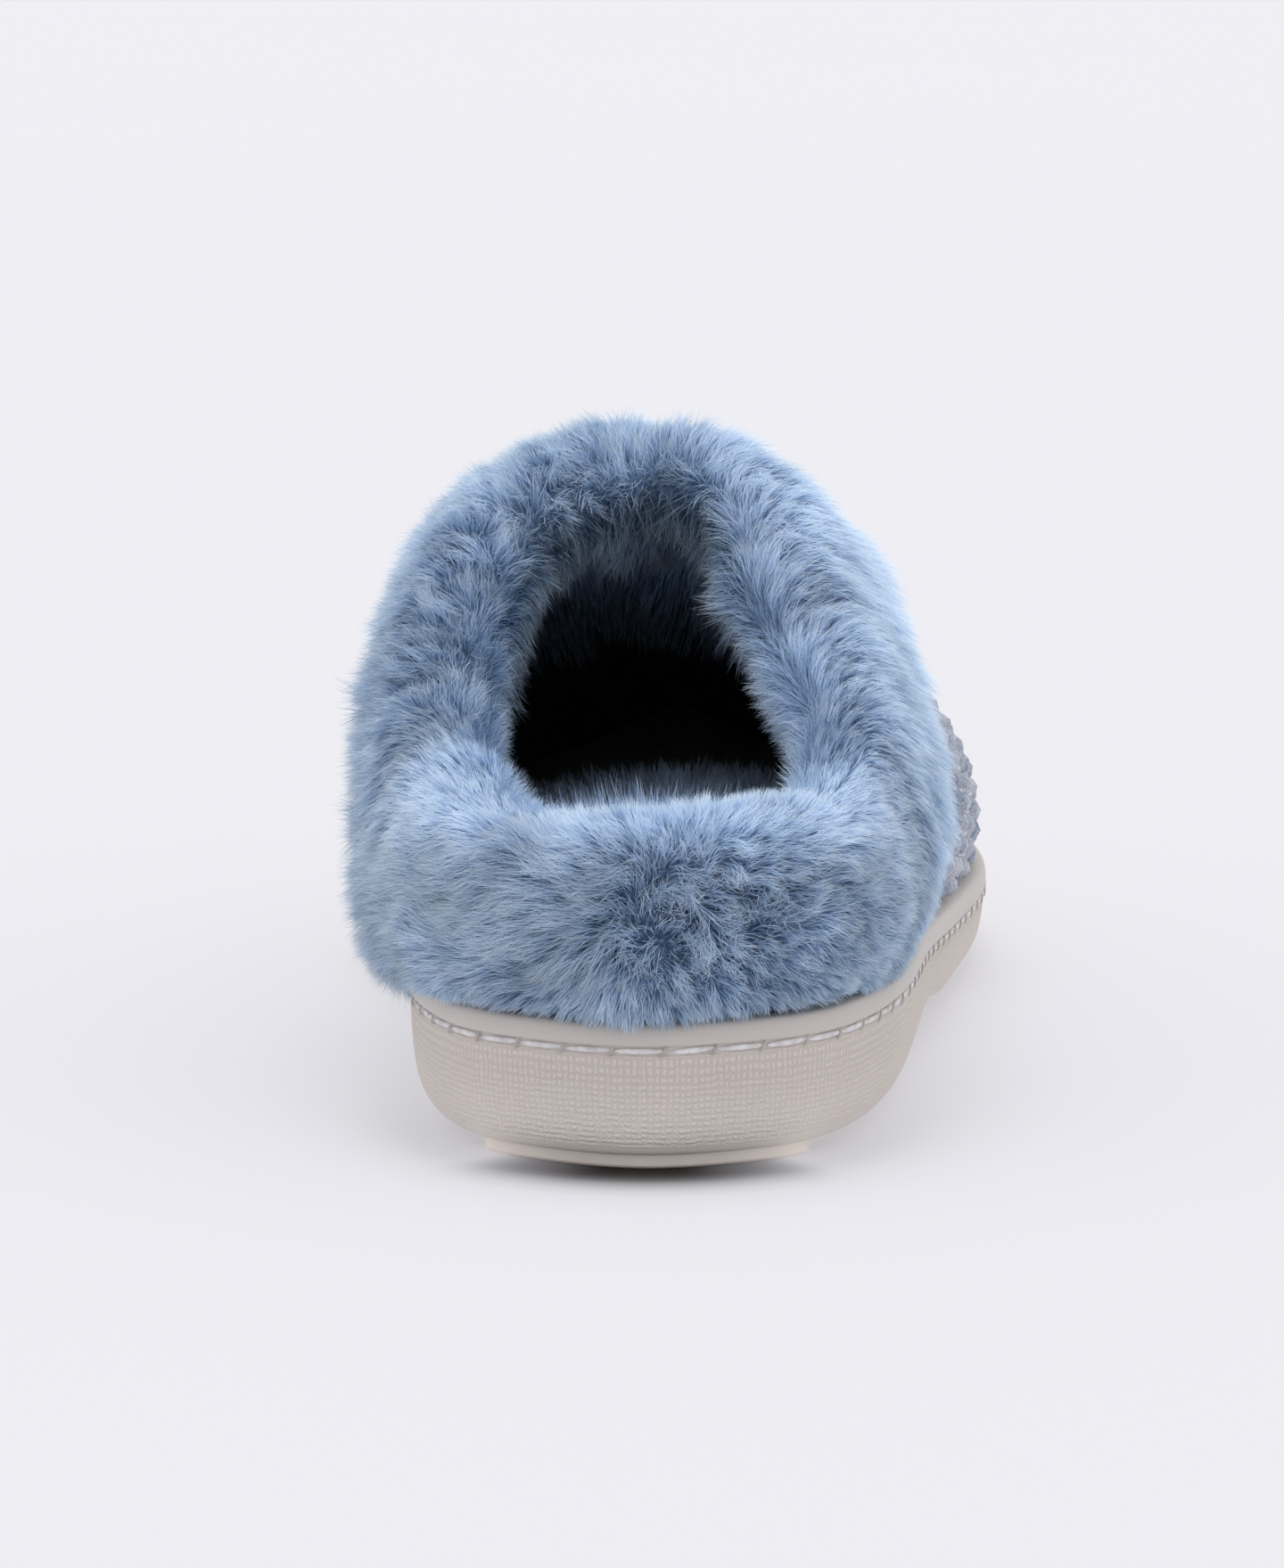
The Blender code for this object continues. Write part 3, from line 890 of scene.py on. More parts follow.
# the upper's shell and its lining
upper = {
    "columns": 200,
    "rows": 24,
    "sink": 0.5,
    "inset": last["lipWidth"] + last["gap"],
    # cloths: dark and light colour, fineness, depth of the relief, sheen
    "ground": ((0.085, 0.115, 0.165), (0.20, 0.25, 0.33), 1500.0, 0.0004, 0.2),
    "lining": ((0.16, 0.21, 0.30), (0.32, 0.41, 0.56), 900.0, 0.0008, 0.1),
    # painted light and shade: where the lining is lit and where it is dark, and its gain
    "liningShown": (0.02, 0.09, 1.5),
}


# plush that shows at the throat and is lost in the dark towards the toe, with painted light and shade along it
def makeLining():
    material = makeCloth("liningPlush", *upper["lining"])
    paintLightAndShadeInside(material, *upper["liningShown"])
    return material


# painted light and shade: the colour is raised up to the near place along the shoe and darkened past the far one
def paintLightAndShadeInside(material, near, far, gain):
    tree = material.node_tree
    shader = tree.nodes["Principled BSDF"]
    plain = shader.inputs["Base Color"].links[0].from_socket
    along = splitNode(tree, objectPlace(tree))["Y"]
    shown = rangeNode(tree, along, near, far, gain, 0.08)
    tree.links.new(scaledBy(tree, plain, shown), shader.inputs["Base Color"])


def liningRings(turn):
    inset = upper["inset"] + last["wall"]
    depth = np.full(turn.shape, -last["wall"])
    rings = [upperRing(turn, way, depth) for way in np.linspace(1.0, 0.0, upper["rows"])]
    rings.append(soleRing(turn, inset, heightAt("lip", turn)))
    rings.append(soleRing(turn, inset, heightAt("floor", turn) + last["gap"]))
    return np.array(rings)


def makeShell():
    turn = wholeTurn(upper["columns"])
    foot = heightAt("floor", turn) + last["gap"]
    ways = np.linspace(0.0, 1.0, upper["rows"])
    rings = [soleRing(turn, upper["inset"] + upper["sink"], foot)]
    rings += [upperRing(turn, way, np.full(turn.shape, -upper["sink"])) for way in ways]
    ground = makeCloth("knitGround", *upper["ground"])
    shell = linkObject("vampGround", tubeMesh("vampGround", np.array(rings)), ground)
    return shell, linkObject("innerLining", tubeMesh("innerLining", liningRings(turn)), makeLining())


# chunky knit: rows of stitches walked over the vamp from its ridge down both sides
knit = {
    "columns": 480,
    "rings": 90,
    "longest": 220,
    "ridgeSteps": 400,
    "seed": 11,
    "across": 3.6,
    "along": 3.0,
    "yarn": 0.00078,
    "step": 0.9,
    # depths below the lip: the surface ends at the first, and a row stops at the second
    "tuck": (4.0, 2.0),
    "backRows": 26,
    "start": 50.0,
    "crowd": 1.8,
    # how far the rows turn with the ridge towards the toe
    "fan": 0.45,
    "dark": (0.20, 0.27, 0.39),
    "light": (0.90, 0.905, 0.955),
}


# places for stitches: rows go down both sides from the ridge, and each row behind runs beside the one before
def makeKnitRows():
    count = knit["columns"]
    turn = wholeTurn(count)
    ways = np.linspace(0.0, 1.0, knit["rings"])
    tucked = [soleRing(turn, upper["inset"], heightAt("lip", turn) - depth) for depth in knit["tuck"]]
    rings = np.array(tucked + [upperRing(turn, way, np.zeros(turn.shape)) for way in ways])
    faces = ringFaces(np.arange(len(rings) * count).reshape(-1, count))
    surface = BVHTree.FromPolygons(rings.reshape(-1, 3).tolist(), faces)
    furEdge = sectionAt("outerStop", turn) + 0.08
    hidden = (np.concatenate(([0.0, 0.0], ways[:-1]))[:, None] > furEdge).ravel()

    # walks on down to the lip, keeping to the surface and, if one is given, to a plane
    def walkRow(place, normal, heading, face, plane=None):
        walked = []
        for i in range(knit["longest"]):
            if plane:
                across = normal.cross(plane)
                heading = across * math.copysign(1.0, across.dot(heading))
            heading = (heading - normal * heading.dot(normal)).normalized()
            walked.append((place, normal, heading, face))
            if face < count:
                break
            place, normal, face, gap = surface.find_nearest(place + heading * knit["step"])
        return walked

    def rowBehind(row, sign):
        moved = []
        for place, normal, heading, face in row:
            back = heading.cross(normal) * sign
            there, newNormal, newFace, gap = surface.find_nearest(place + back * knit["along"])
            moved.append((there, newNormal, heading, newFace))
            if newFace < count:
                return moved
        return moved[:-1] + walkRow(*moved[-1])

    half = np.array([math.pi])
    edgeWay = sectionAt("outerStop", half)[0] + 0.1
    ridgeWays = np.linspace(edgeWay, 0.0, knit["ridgeSteps"])
    ridge = np.concatenate([upperFace(half, np.array([way])) for way in ridgeWays])
    ridge = np.concatenate((ridge, rings[:1, count // 2]))
    pieces = np.diff(ridge, axis=0)
    slope = np.arctan2(-pieces[:, 2], pieces[:, 1])
    tilt = slope[0] + knit["fan"] * (slope - slope[0])
    walkedRidge = running(np.linalg.norm(pieces, axis=1) * np.cos(slope - tilt))
    spots = []
    for sign in (1.0, -1.0):
        rows = []
        for length in np.arange(0.0, walkedRidge[-1], knit["along"]):
            start = [np.interp(length, walkedRidge, ridge[:, axis]) for axis in range(3)]
            place, normal, face, gap = surface.find_nearest(Vector(start))
            angle = np.interp(length, walkedRidge[1:], tilt)
            plane = Vector((0.0, math.cos(angle), -math.sin(angle)))
            rows.append(walkRow(place, normal, Vector((sign, 0.0, 0.0)), face, plane))
        behind = [rows[0]]
        for i in range(knit["backRows"]):
            behind.append(rowBehind(behind[-1], sign))
        for number, row in enumerate(behind[:0:-1] + rows):
            column = 0
            while (column + 0.5) * knit["across"] < knit["step"] * (len(row) - 1):
                place, normal, heading, face = row[int((column + 0.5) * knit["across"] / knit["step"] + 0.5)]
                kind = (number + column + (0 if sign > 0.0 else 1)) % 2
                if not hidden[face] and place.y > knit["start"]:
                    along = np.array(normal.cross(heading)) * sign
                    spots.append((np.array(place), np.array(normal), along, kind))
                column += 1
    # a stitch too near one that is already there is left out
    kept = np.full((1, 3), 1000.0)
    chosen = []
    for spot in spots:
        if np.linalg.norm(kept - spot[0], axis=1).min() > knit["crowd"]:
            kept = np.vstack((kept, spot[0]))
            chosen.append(spot)
    return chosen


def makeKnitTree():
    tree, given = newTree("seedStitch", "Across", "Along", "Yarn", "Seed", "Material")
    ring = addNode(tree, "GeometryNodeCurvePrimitiveCircle", {"Resolution": 5, "Radius": given["Yarn"]})
    factor = addNode(tree, "GeometryNodeSplineParameter").outputs["Factor"]
    swell = mathNode(tree, "SINE", times(tree, factor, math.pi))
    swell = plus(tree, times(tree, swell, 0.5), 0.55)

    # one bowed length of yarn, its ends given in stitch widths, stitch heights and yarn radii
    def yarnBow(places):
        ends = {}
        for label, (x, y, z) in zip(("Start", "Middle", "End"), places):
            ends[label] = joinNode(
                tree, X=times(tree, given["Across"], x), Y=times(tree, given["Along"], y),
                Z=times(tree, given["Yarn"], z),
            )
        bow = addNode(tree, "GeometryNodeCurveQuadraticBezier", {"Resolution": 4, **ends})
        return addNode(
            tree, "GeometryNodeCurveToMesh",
            {"Curve": bow.outputs[0], "Profile Curve": ring.outputs["Curve"], "Scale": swell},
        ).outputs["Mesh"]

    vee = addNode(tree, "GeometryNodeJoinGeometry")
    for s in (1.0, -1.0):
        leg = yarnBow(((0.06 * s, -0.62, -0.9), (0.30 * s, -0.1, 1.0), (0.34 * s, 0.62, -0.5)))
        tree.links.new(leg, vee.inputs[0])
    nub = yarnBow(((-0.52, -0.12, -0.6), (0.0, 0.1, 3.6), (0.52, -0.12, -0.6)))
    kind = namedField(tree, "growKind")
    facing = rotationTo(tree, vectorField(tree, "growNormal"), "Z", vectorField(tree, "growAlong"), "Y")
    both = addNode(tree, "GeometryNodeJoinGeometry")
    for shape, low, high, offset, base in ((vee.outputs[0], -0.5, 0.5, 1.0, 0.96), (nub, 0.5, 1.5, 2.0, 0.45)):
        chosen = times(
            tree, mathNode(tree, "GREATER_THAN", kind, low), mathNode(tree, "LESS_THAN", kind, high)
        )
        seed = plus(tree, given["Seed"], offset)
        placed = addNode(
            tree, "GeometryNodeInstanceOnPoints",
            {"Points": given["Geometry"], "Selection": chosen, "Instance": shape, "Rotation": facing,
             "Scale": randomNode(tree, 0.9, 1.14, seed)},
        )
        shade = randomNode(tree, base - 0.28, base + 0.28, plus(tree, seed, 5.0))
        shaded = storeField(tree, placed.outputs[0], "yarnShade", shade, domain="INSTANCE")
        tree.links.new(shaded, both.inputs[0])
    real = addNode(tree, "GeometryNodeRealizeInstances", {"Geometry": both.outputs[0]})
    closeTree(tree, real.outputs[0], given["Material"])
    return tree


def makeKnit():
    places, normals, alongs, kinds = (np.array(values) for values in zip(*makeKnitRows()))
    mesh = bpy.data.meshes.new("knitSpots")
    mesh.from_pydata(toWorld(places + normals * 0.1).tolist(), [], [])
    setFields(mesh, {"Normal": normals, "Along": alongs, "Kind": kinds})
    print("stitches in the vamp:", len(places))
    return growMesh(
        "knitVamp", mesh, makeKnitTree(),
        {"Across": knit["across"] * mm, "Along": knit["along"] * mm, "Yarn": knit["yarn"], "Seed": knit["seed"],
         "Material": makeYarn("knitYarn", knit["dark"], knit["light"])},
    )


for piece in (*makeShell(), makeKnit()):
    finishPiece(piece, "upper")
print("upper done")

# long pile: a skin over the collar, combed zone by zone, and strands grown on it in locks
fur = {
    "columns": 300,
    "rowsOutside": 16,
    "rowsOver": 13,
    "rowsInside": 10,
    "skinOutside": 5.4,
    "skinInside": 3.6,
    "skinOver": 4.8,
    "reachOutside": 9.0,
    "reachOver": 6.5,
    "reachInside": 7.0,
    "parting": 185.0,
    "throatParting": 150.0,
    # lower and upper end of the seam at the heel, and the tangle beside it: middle and half size across and up
    "seam": np.array(((-3.0, -11.0, 19.0), (7.4, -8.0, 47.2))),
    "tangle": (14.0, 37.0, 14.0, 10.0),
    "rollAt": (-24.0, -17.0, -10.0, -3.0, 8.0, 18.0, 26.0),
    "rollBy": (0.0, -3.3, -1.8, 0.0, 1.0, 1.4, 0.0),
    "slim": 0.5,
    "trim": 0.55,
    "lumps": 0.5,
    "curls": 0.8,
    "strands": 1.06e7,
    "locks": 3.0e5,
    "width": 0.00014,
    "pull": 0.58,
    "rootLean": 28.0,
    "tipLean": 78.0,
    "droop": 0.12,
    "root": (0.115, 0.218, 0.38),
    "middle": (0.335, 0.495, 0.715),
    "tip": (0.68, 0.77, 0.845),
    "cool": (0.70, 0.765, 0.825),
    "sheen": 0.05,
    "backing": ((0.13, 0.215, 0.345), (0.28, 0.41, 0.60), 1800.0, 0.0006, 0.1),
    "seed": 40,
    "seedStep": 20,
    # where each zone starts and where it is full, in mm, degrees over the topline, rows of the skin or shares
    "zones": {
        "heel": (52.0, 24.0), "throat": (86.0, 104.0), "deep": (70.0, 112.0), "lit": (40.0, 60.0),
        "medial": (0.0, 18.0), "lateral": (10.0, 30.0), "hanging": (42.0, 30.0), "roll": (45.0, 53.0),
        "topLit": (42.0, 50.0), "outside": (50.0, 120.0), "inside": (95.0, 150.0), "tuftEnd": (140.0, 175.0),
        "flankBack": (20.0, 50.0), "flankFront": (125.0, 105.0), "curlSide": (-4.0, -24.0),
        "curlBack": (38.0, 58.0), "curlFront": (126.0, 112.0), "curlOver": (150.0, 120.0),
        "trimAlong": (80.0, 50.0), "trimLow": (50.0, 28.0), "trimFront": (26.0, 48.0),
        "shortAlong": (90.0, 60.0), "rim": (0.0, 9.0), "crossing": (-12.0, 12.0), "messSide": (0.0, 15.0),
        "litSide": (-10.0, 15.0), "front": (50.0, 115.0), "overThroat": (0.2, 1.0), "heelRoll": (48.0, 22.0),
        "slimLow": (0.4, 0.0),
    },
    # middle and half size of soft spots, in mm or in degrees over the topline
    "spots": {"hanging": (4.0, 16.0), "tufts": (11.0, 5.0), "recess": (0.0, 6.0), "archShade": (132.0, 16.0)},
    # size in mm and seed of each soft unevenness
    "uneven": {
        "lumps": (16.0, 3), "curls": (8.0, 18), "seamAround": (12.0, 5), "seamAlong": (11.0, 8), "whirl": (10.0, 6),
        "drift": (14.0, 9), "fineDrift": (6.0, 10), "reach": (9.0, 12), "throat": (11.0, 15), "tone": (12.0, 14),
    },
    # how far each zone turns the comb, loosens, raises or shortens the strands, or lightens or darkens them as painted
    # light and shade
    "combBy": {
        "split": 45.0, "throatSplit": 35.0, "flank": 0.45, "opening": 0.8, "throatEdge": 0.25, "throatHang": 0.6,
        "seamAround": 4.0, "seamAlong": 3.0, "heel": 0.85, "drift": 0.35, "fineDrift": 0.2, "whirl": 6.0,
        "curled": 0.6,
    },
    "messBy": {"plain": 0.4, "curly": 0.7, "throat": 0.3, "flank": 0.3, "parted": 1.6, "drift": 0.5},
    "riseBy": {"parted": 0.4, "tangled": 0.15, "roll": 0.3, "rim": (0.7, 0.3)},
    "reachBy": {
        "plain": 0.12, "curled": 0.12, "roll": 0.45, "lowest": 0.75, "lowestBack": 0.45, "lowestSide": 0.05,
        "throat": 0.35, "tufts": 0.3, "trimAlong": 0.3,
    },
    "toneBy": {
        "plain": 0.56, "mottle": 0.08, "tangled": 0.08, "deep": 0.45, "lit": 0.05, "litSide": 0.22, "topLit": 0.42,
        "throat": 0.16, "tufts": 0.3, "recess": 0.3, "archShade": 0.25, "lastRows": 0.25,
    },
    "lastRows": 11.0,
    # borders of the parts: along and across in mm, the others in degrees over the topline
    "heelEnd": 45.0,
    "ridge": -3.0,
    "toplineFrom": 45.0,
    "liningFrom": 120.0,
    # share of the strands that each of the six parts gets
    "parts": (("furHeel", 1.0), ("furOuterSide", 1.0), ("furInnerSide", 1.0), ("furTopline", 1.0),
              ("furLiningOuter", 0.35), ("furLiningInner", 0.35)),
}


# strands stand on the skin, lean along the comb, bend over and close up into locks
def makePileTree():
    tree, given = newTree(
        "combedPile", "Part", "Strands", "Locks", "Width", "Pull", "Root Lean", "Tip Lean", "Droop", "Seed", "Material"
    )
    seed = given["Seed"]
    wanted = addNode(tree, "FunctionNodeCompare", data_type="INT", operation="EQUAL")
    feed(tree, wanted.inputs[2], namedField(tree, "growPart", "INT"))
    feed(tree, wanted.inputs[3], given["Part"])
    comb = vectorField(tree, "growComb")
    lean, reach, mess, tone = (namedField(tree, "grow" + name) for name in ("Lean", "Reach", "Mess", "Tone"))
    place = addNode(tree, "GeometryNodeInputPosition").outputs[0]

    def chance(low, high, offset):
        return randomNode(tree, low, high, plus(tree, seed, offset))

    def scatter(density, offset):
        return addNode(
            tree, "GeometryNodeDistributePointsOnFaces",
            {"Mesh": given["Geometry"], "Selection": wanted.outputs[0], "Density": density,
             "Seed": plus(tree, seed, offset)},
        )

    # direction at the root and at the tip
    def leanWays(normal, swing, curl, offset):
        ways = []
        laid = times(tree, lean, chance(0.74, 1.1, offset))
        for label, turn in (("Root Lean", swing), ("Tip Lean", plus(tree, swing, curl))):
            turned = turnedBy(tree, comb, normal, turn)
            angle = times(tree, laid, given[label])
            rise = scaledBy(tree, normal, mathNode(tree, "COSINE", angle))
            ways.append(summed(tree, rise, scaledBy(tree, turned, mathNode(tree, "SINE", angle))))
        ways[1] = summed(tree, ways[1], joinNode(tree, Z=times(tree, given["Droop"], -1.0)))
        return ways

    def swingOf(share, offset):
        return times(tree, times(tree, mess, share), chance(-1.0, 1.0, offset))

    # where a strand that starts one way and ends another has its tip
    def tipOf(first, final, length):
        return summed(tree, place, scaledBy(tree, summed(tree, first, final), times(tree, length, 0.5)))

    # lock centres, with the tip that their strands close up to
    lockSpots = scatter(given["Locks"], 1.0)
    lockReach = times(tree, reach, chance(0.76, 1.16, 2.0))
    ways = leanWays(lockSpots.outputs["Normal"], swingOf(1.0, 3.0), swingOf(1.6, 11.0), 13.0)
    locks = storeField(tree, lockSpots.outputs["Points"], "growTip", tipOf(*ways, lockReach))
    locks = storeField(tree, locks, "growLock", chance(-1.0, 1.0, 4.0))

    spots = scatter(given["Strands"], 5.0)
    nearest = addNode(
        tree, "GeometryNodeSampleNearest", {"Geometry": locks, "Sample Position": place}, domain="POINT"
    )

    def fromLock(value):
        return addNode(
            tree, "GeometryNodeSampleIndex",
            {"Geometry": locks, "Value": value, "Index": nearest.outputs["Index"]},
            data_type=fieldKind(value), domain="POINT",
        ).outputs["Value"]

    lockTip = fromLock(vectorField(tree, "growTip"))
    lockRoot = fromLock(place)
    lockTone = fromLock(namedField(tree, "growLock"))
    normal = spots.outputs["Normal"]
    own = times(tree, reach, chance(0.62, 1.14, 6.0))
    first, final = leanWays(normal, swingOf(0.6, 7.0), swingOf(1.4, 12.0), 14.0)
    aim = summed(tree, lockTip, scaledBy(tree, vectorNode(tree, "SUBTRACT", place, lockRoot), 0.3))
    pull = scaledBy(
        tree, vectorNode(tree, "SUBTRACT", aim, tipOf(first, final, own)),
        times(tree, given["Pull"], chance(0.45, 1.0, 8.0)),
    )
    flat = vectorNode(tree, "NORMALIZE", vectorNode(tree, "CROSS_PRODUCT", final, normal))
    side = turnedBy(tree, flat, final, chance(-0.9, 0.9, 9.0))
    shade = plus(tree, tone, plus(tree, times(tree, lockTone, 0.1), chance(-0.14, 0.14, 10.0)))
    shade = addNode(tree, "ShaderNodeClamp", {"Value": shade, "Min": 0.02, "Max": 0.98}).outputs[0]
    grown = spots.outputs["Points"]
    for name, value in (
        ("Root", place), ("First", scaledBy(tree, first, own)), ("Final", scaledBy(tree, final, own)),
        ("Pull", pull), ("Side", side), ("Shade", shade),
    ):
        grown = storeField(tree, grown, "grow" + name, value)

    # one flat strand, narrowing to a tip: its x is across, its y along
    gridSize = {"Size X": 1.0, "Size Y": 1.0, "Vertices X": 2, "Vertices Y": 3}
    blade = addNode(tree, "GeometryNodeMeshGrid", gridSize)
    parts = splitNode(tree, place)
    along = plus(tree, parts["Y"], 0.5)
    taper = minus(tree, 1.0, power(tree, along, 2.5))
    narrowed = joinNode(tree, X=times(tree, parts["X"], taper), Y=parts["Y"])
    blade = addNode(tree, "GeometryNodeSetPosition", {"Geometry": blade.outputs["Mesh"], "Position": narrowed})
    blade = addNode(tree, "GeometryNodeMergeByDistance", {"Geometry": blade.outputs[0], "Distance": 0.0001})
    blade = storeField(tree, blade.outputs[0], "growAlong", along)
    blade = storeField(tree, blade, "growAcross", parts["X"])
    placed = addNode(tree, "GeometryNodeInstanceOnPoints", {"Points": grown, "Instance": blade})
    real = addNode(tree, "GeometryNodeRealizeInstances", {"Geometry": placed.outputs[0]})

    t = namedField(tree, "growAlong")
    square = times(tree, t, t)
    across = namedField(tree, "growAcross")
    bent = vectorField(tree, "growRoot")
    for name, amount in (
        ("First", minus(tree, t, times(tree, square, 0.5))), ("Final", times(tree, square, 0.5)),
        ("Pull", power(tree, t, 1.5)), ("Side", times(tree, across, given["Width"])),
    ):
        bent = summed(tree, bent, scaledBy(tree, vectorField(tree, "grow" + name), amount))
    shaped = addNode(tree, "GeometryNodeSetPosition", {"Geometry": real.outputs[0], "Position": bent})
    # map for colour: a strand's shade, and the way from root to tip
    shadePlace = plus(tree, namedField(tree, "growShade"), times(tree, across, 0.02))
    mapPlace = joinNode(tree, X=shadePlace, Y=t)
    mapped = storeField(tree, shaped.outputs[0], "OFBake", mapPlace, "FLOAT2", "CORNER")
    closeTree(tree, mapped, given["Material"])
    return tree


# strands of one part of a skin, as a piece's dictionary gives them
def growPile(name, skin, tree, look, part, seed, material, share=1.0):
    return growMesh(name, skin, tree, {
        "Part": part, "Strands": look["strands"] * share, "Locks": look["locks"], "Width": look["width"],
        "Pull": look["pull"], "Root Lean": math.radians(look["rootLean"]),
        "Tip Lean": math.radians(look["tipLean"]), "Droop": look["droop"], "Seed": seed, "Material": material,
    })


def zone(name, values):
    return smooth(*fur["zones"][name], values)


def spot(name, values):
    middle, half = fur["spots"][name]
    return np.exp(-(((values - middle) / half) ** 2))


def uneven(name, points):
    return softNoise(points, *fur["uneven"][name])


# rings of the skin from the collar's outer edge up, over the topline and down inside
def makeSkin():
    turn = evenTurns(fur["columns"])
    outer = sectionAt("outerStop", turn)
    inner = sectionAt("innerStop", turn)
    # fuller on the inner side and over the throat than on the outer side of the heel
    sideways = np.sin(turn)
    front = zone("front", soleLoop(turn)[:, 1])
    outerGain = np.clip(sideways, 0.0, 1.0) * (0.7 * front - 2.4 * (1.0 - front))
    outside = fur["skinOutside"] + outerGain + 1.4 * np.clip(-sideways, 0.0, 1.0) * front
    over = fur["skinOver"] + 3.0 * zone("overThroat", -np.cos(turn))
    over = over + 0.8 * np.clip(-sideways, 0.0, 1.0) + 0.5 * outerGain
    # the heel's roll is full in the middle and sinks where it meets the inner side
    top = upperFace(turn, np.ones_like(turn))
    over = over + zone("heelRoll", top[:, 1]) * np.interp(top[:, 0], fur["rollAt"], fur["rollBy"])
    rings = []
    angles = []
    # low down the outer side is slim, so that the lip and the knit show
    slim = fur["slim"] * np.clip(sideways, 0.0, 1.0)
    for way, share in ((0.0, 0.02), (-0.01, 0.4)):
        rings.append(upperRing(turn, outer + (1.0 - outer) * way, 0.3 + outside * share * (1.0 - slim)))
        angles.append(0.0)
    for way in np.linspace(0.02, 0.86, fur["rowsOutside"]):
        share = (0.72 + 0.28 * math.sin(math.pi * min(way * 2.2, 0.5))) * (1.0 - slim * zone("slimLow", way))
        rings.append(upperRing(turn, outer + (1.0 - outer) * way, 0.4 + outside * share))
        angles.append(0.0)
    for angle in np.linspace(25.0, 155.0, fur["rowsOver"]):
        rings.append(edgeRing(turn, angle, outside, over, fur["skinInside"]))
        angles.append(angle)
    for way in np.linspace(0.86, 0.0, fur["rowsInside"]):
        share = 0.35 + 0.65 * math.sin(math.pi * min(way * 1.6, 0.5))
        depth = -last["wall"] - 0.4 - fur["skinInside"] * share
        rings.append(upperRing(turn, inner + (1.0 - inner) * way, np.full(turn.shape, depth)))
        angles.append(180.0)
    return np.array(rings), np.array(angles)


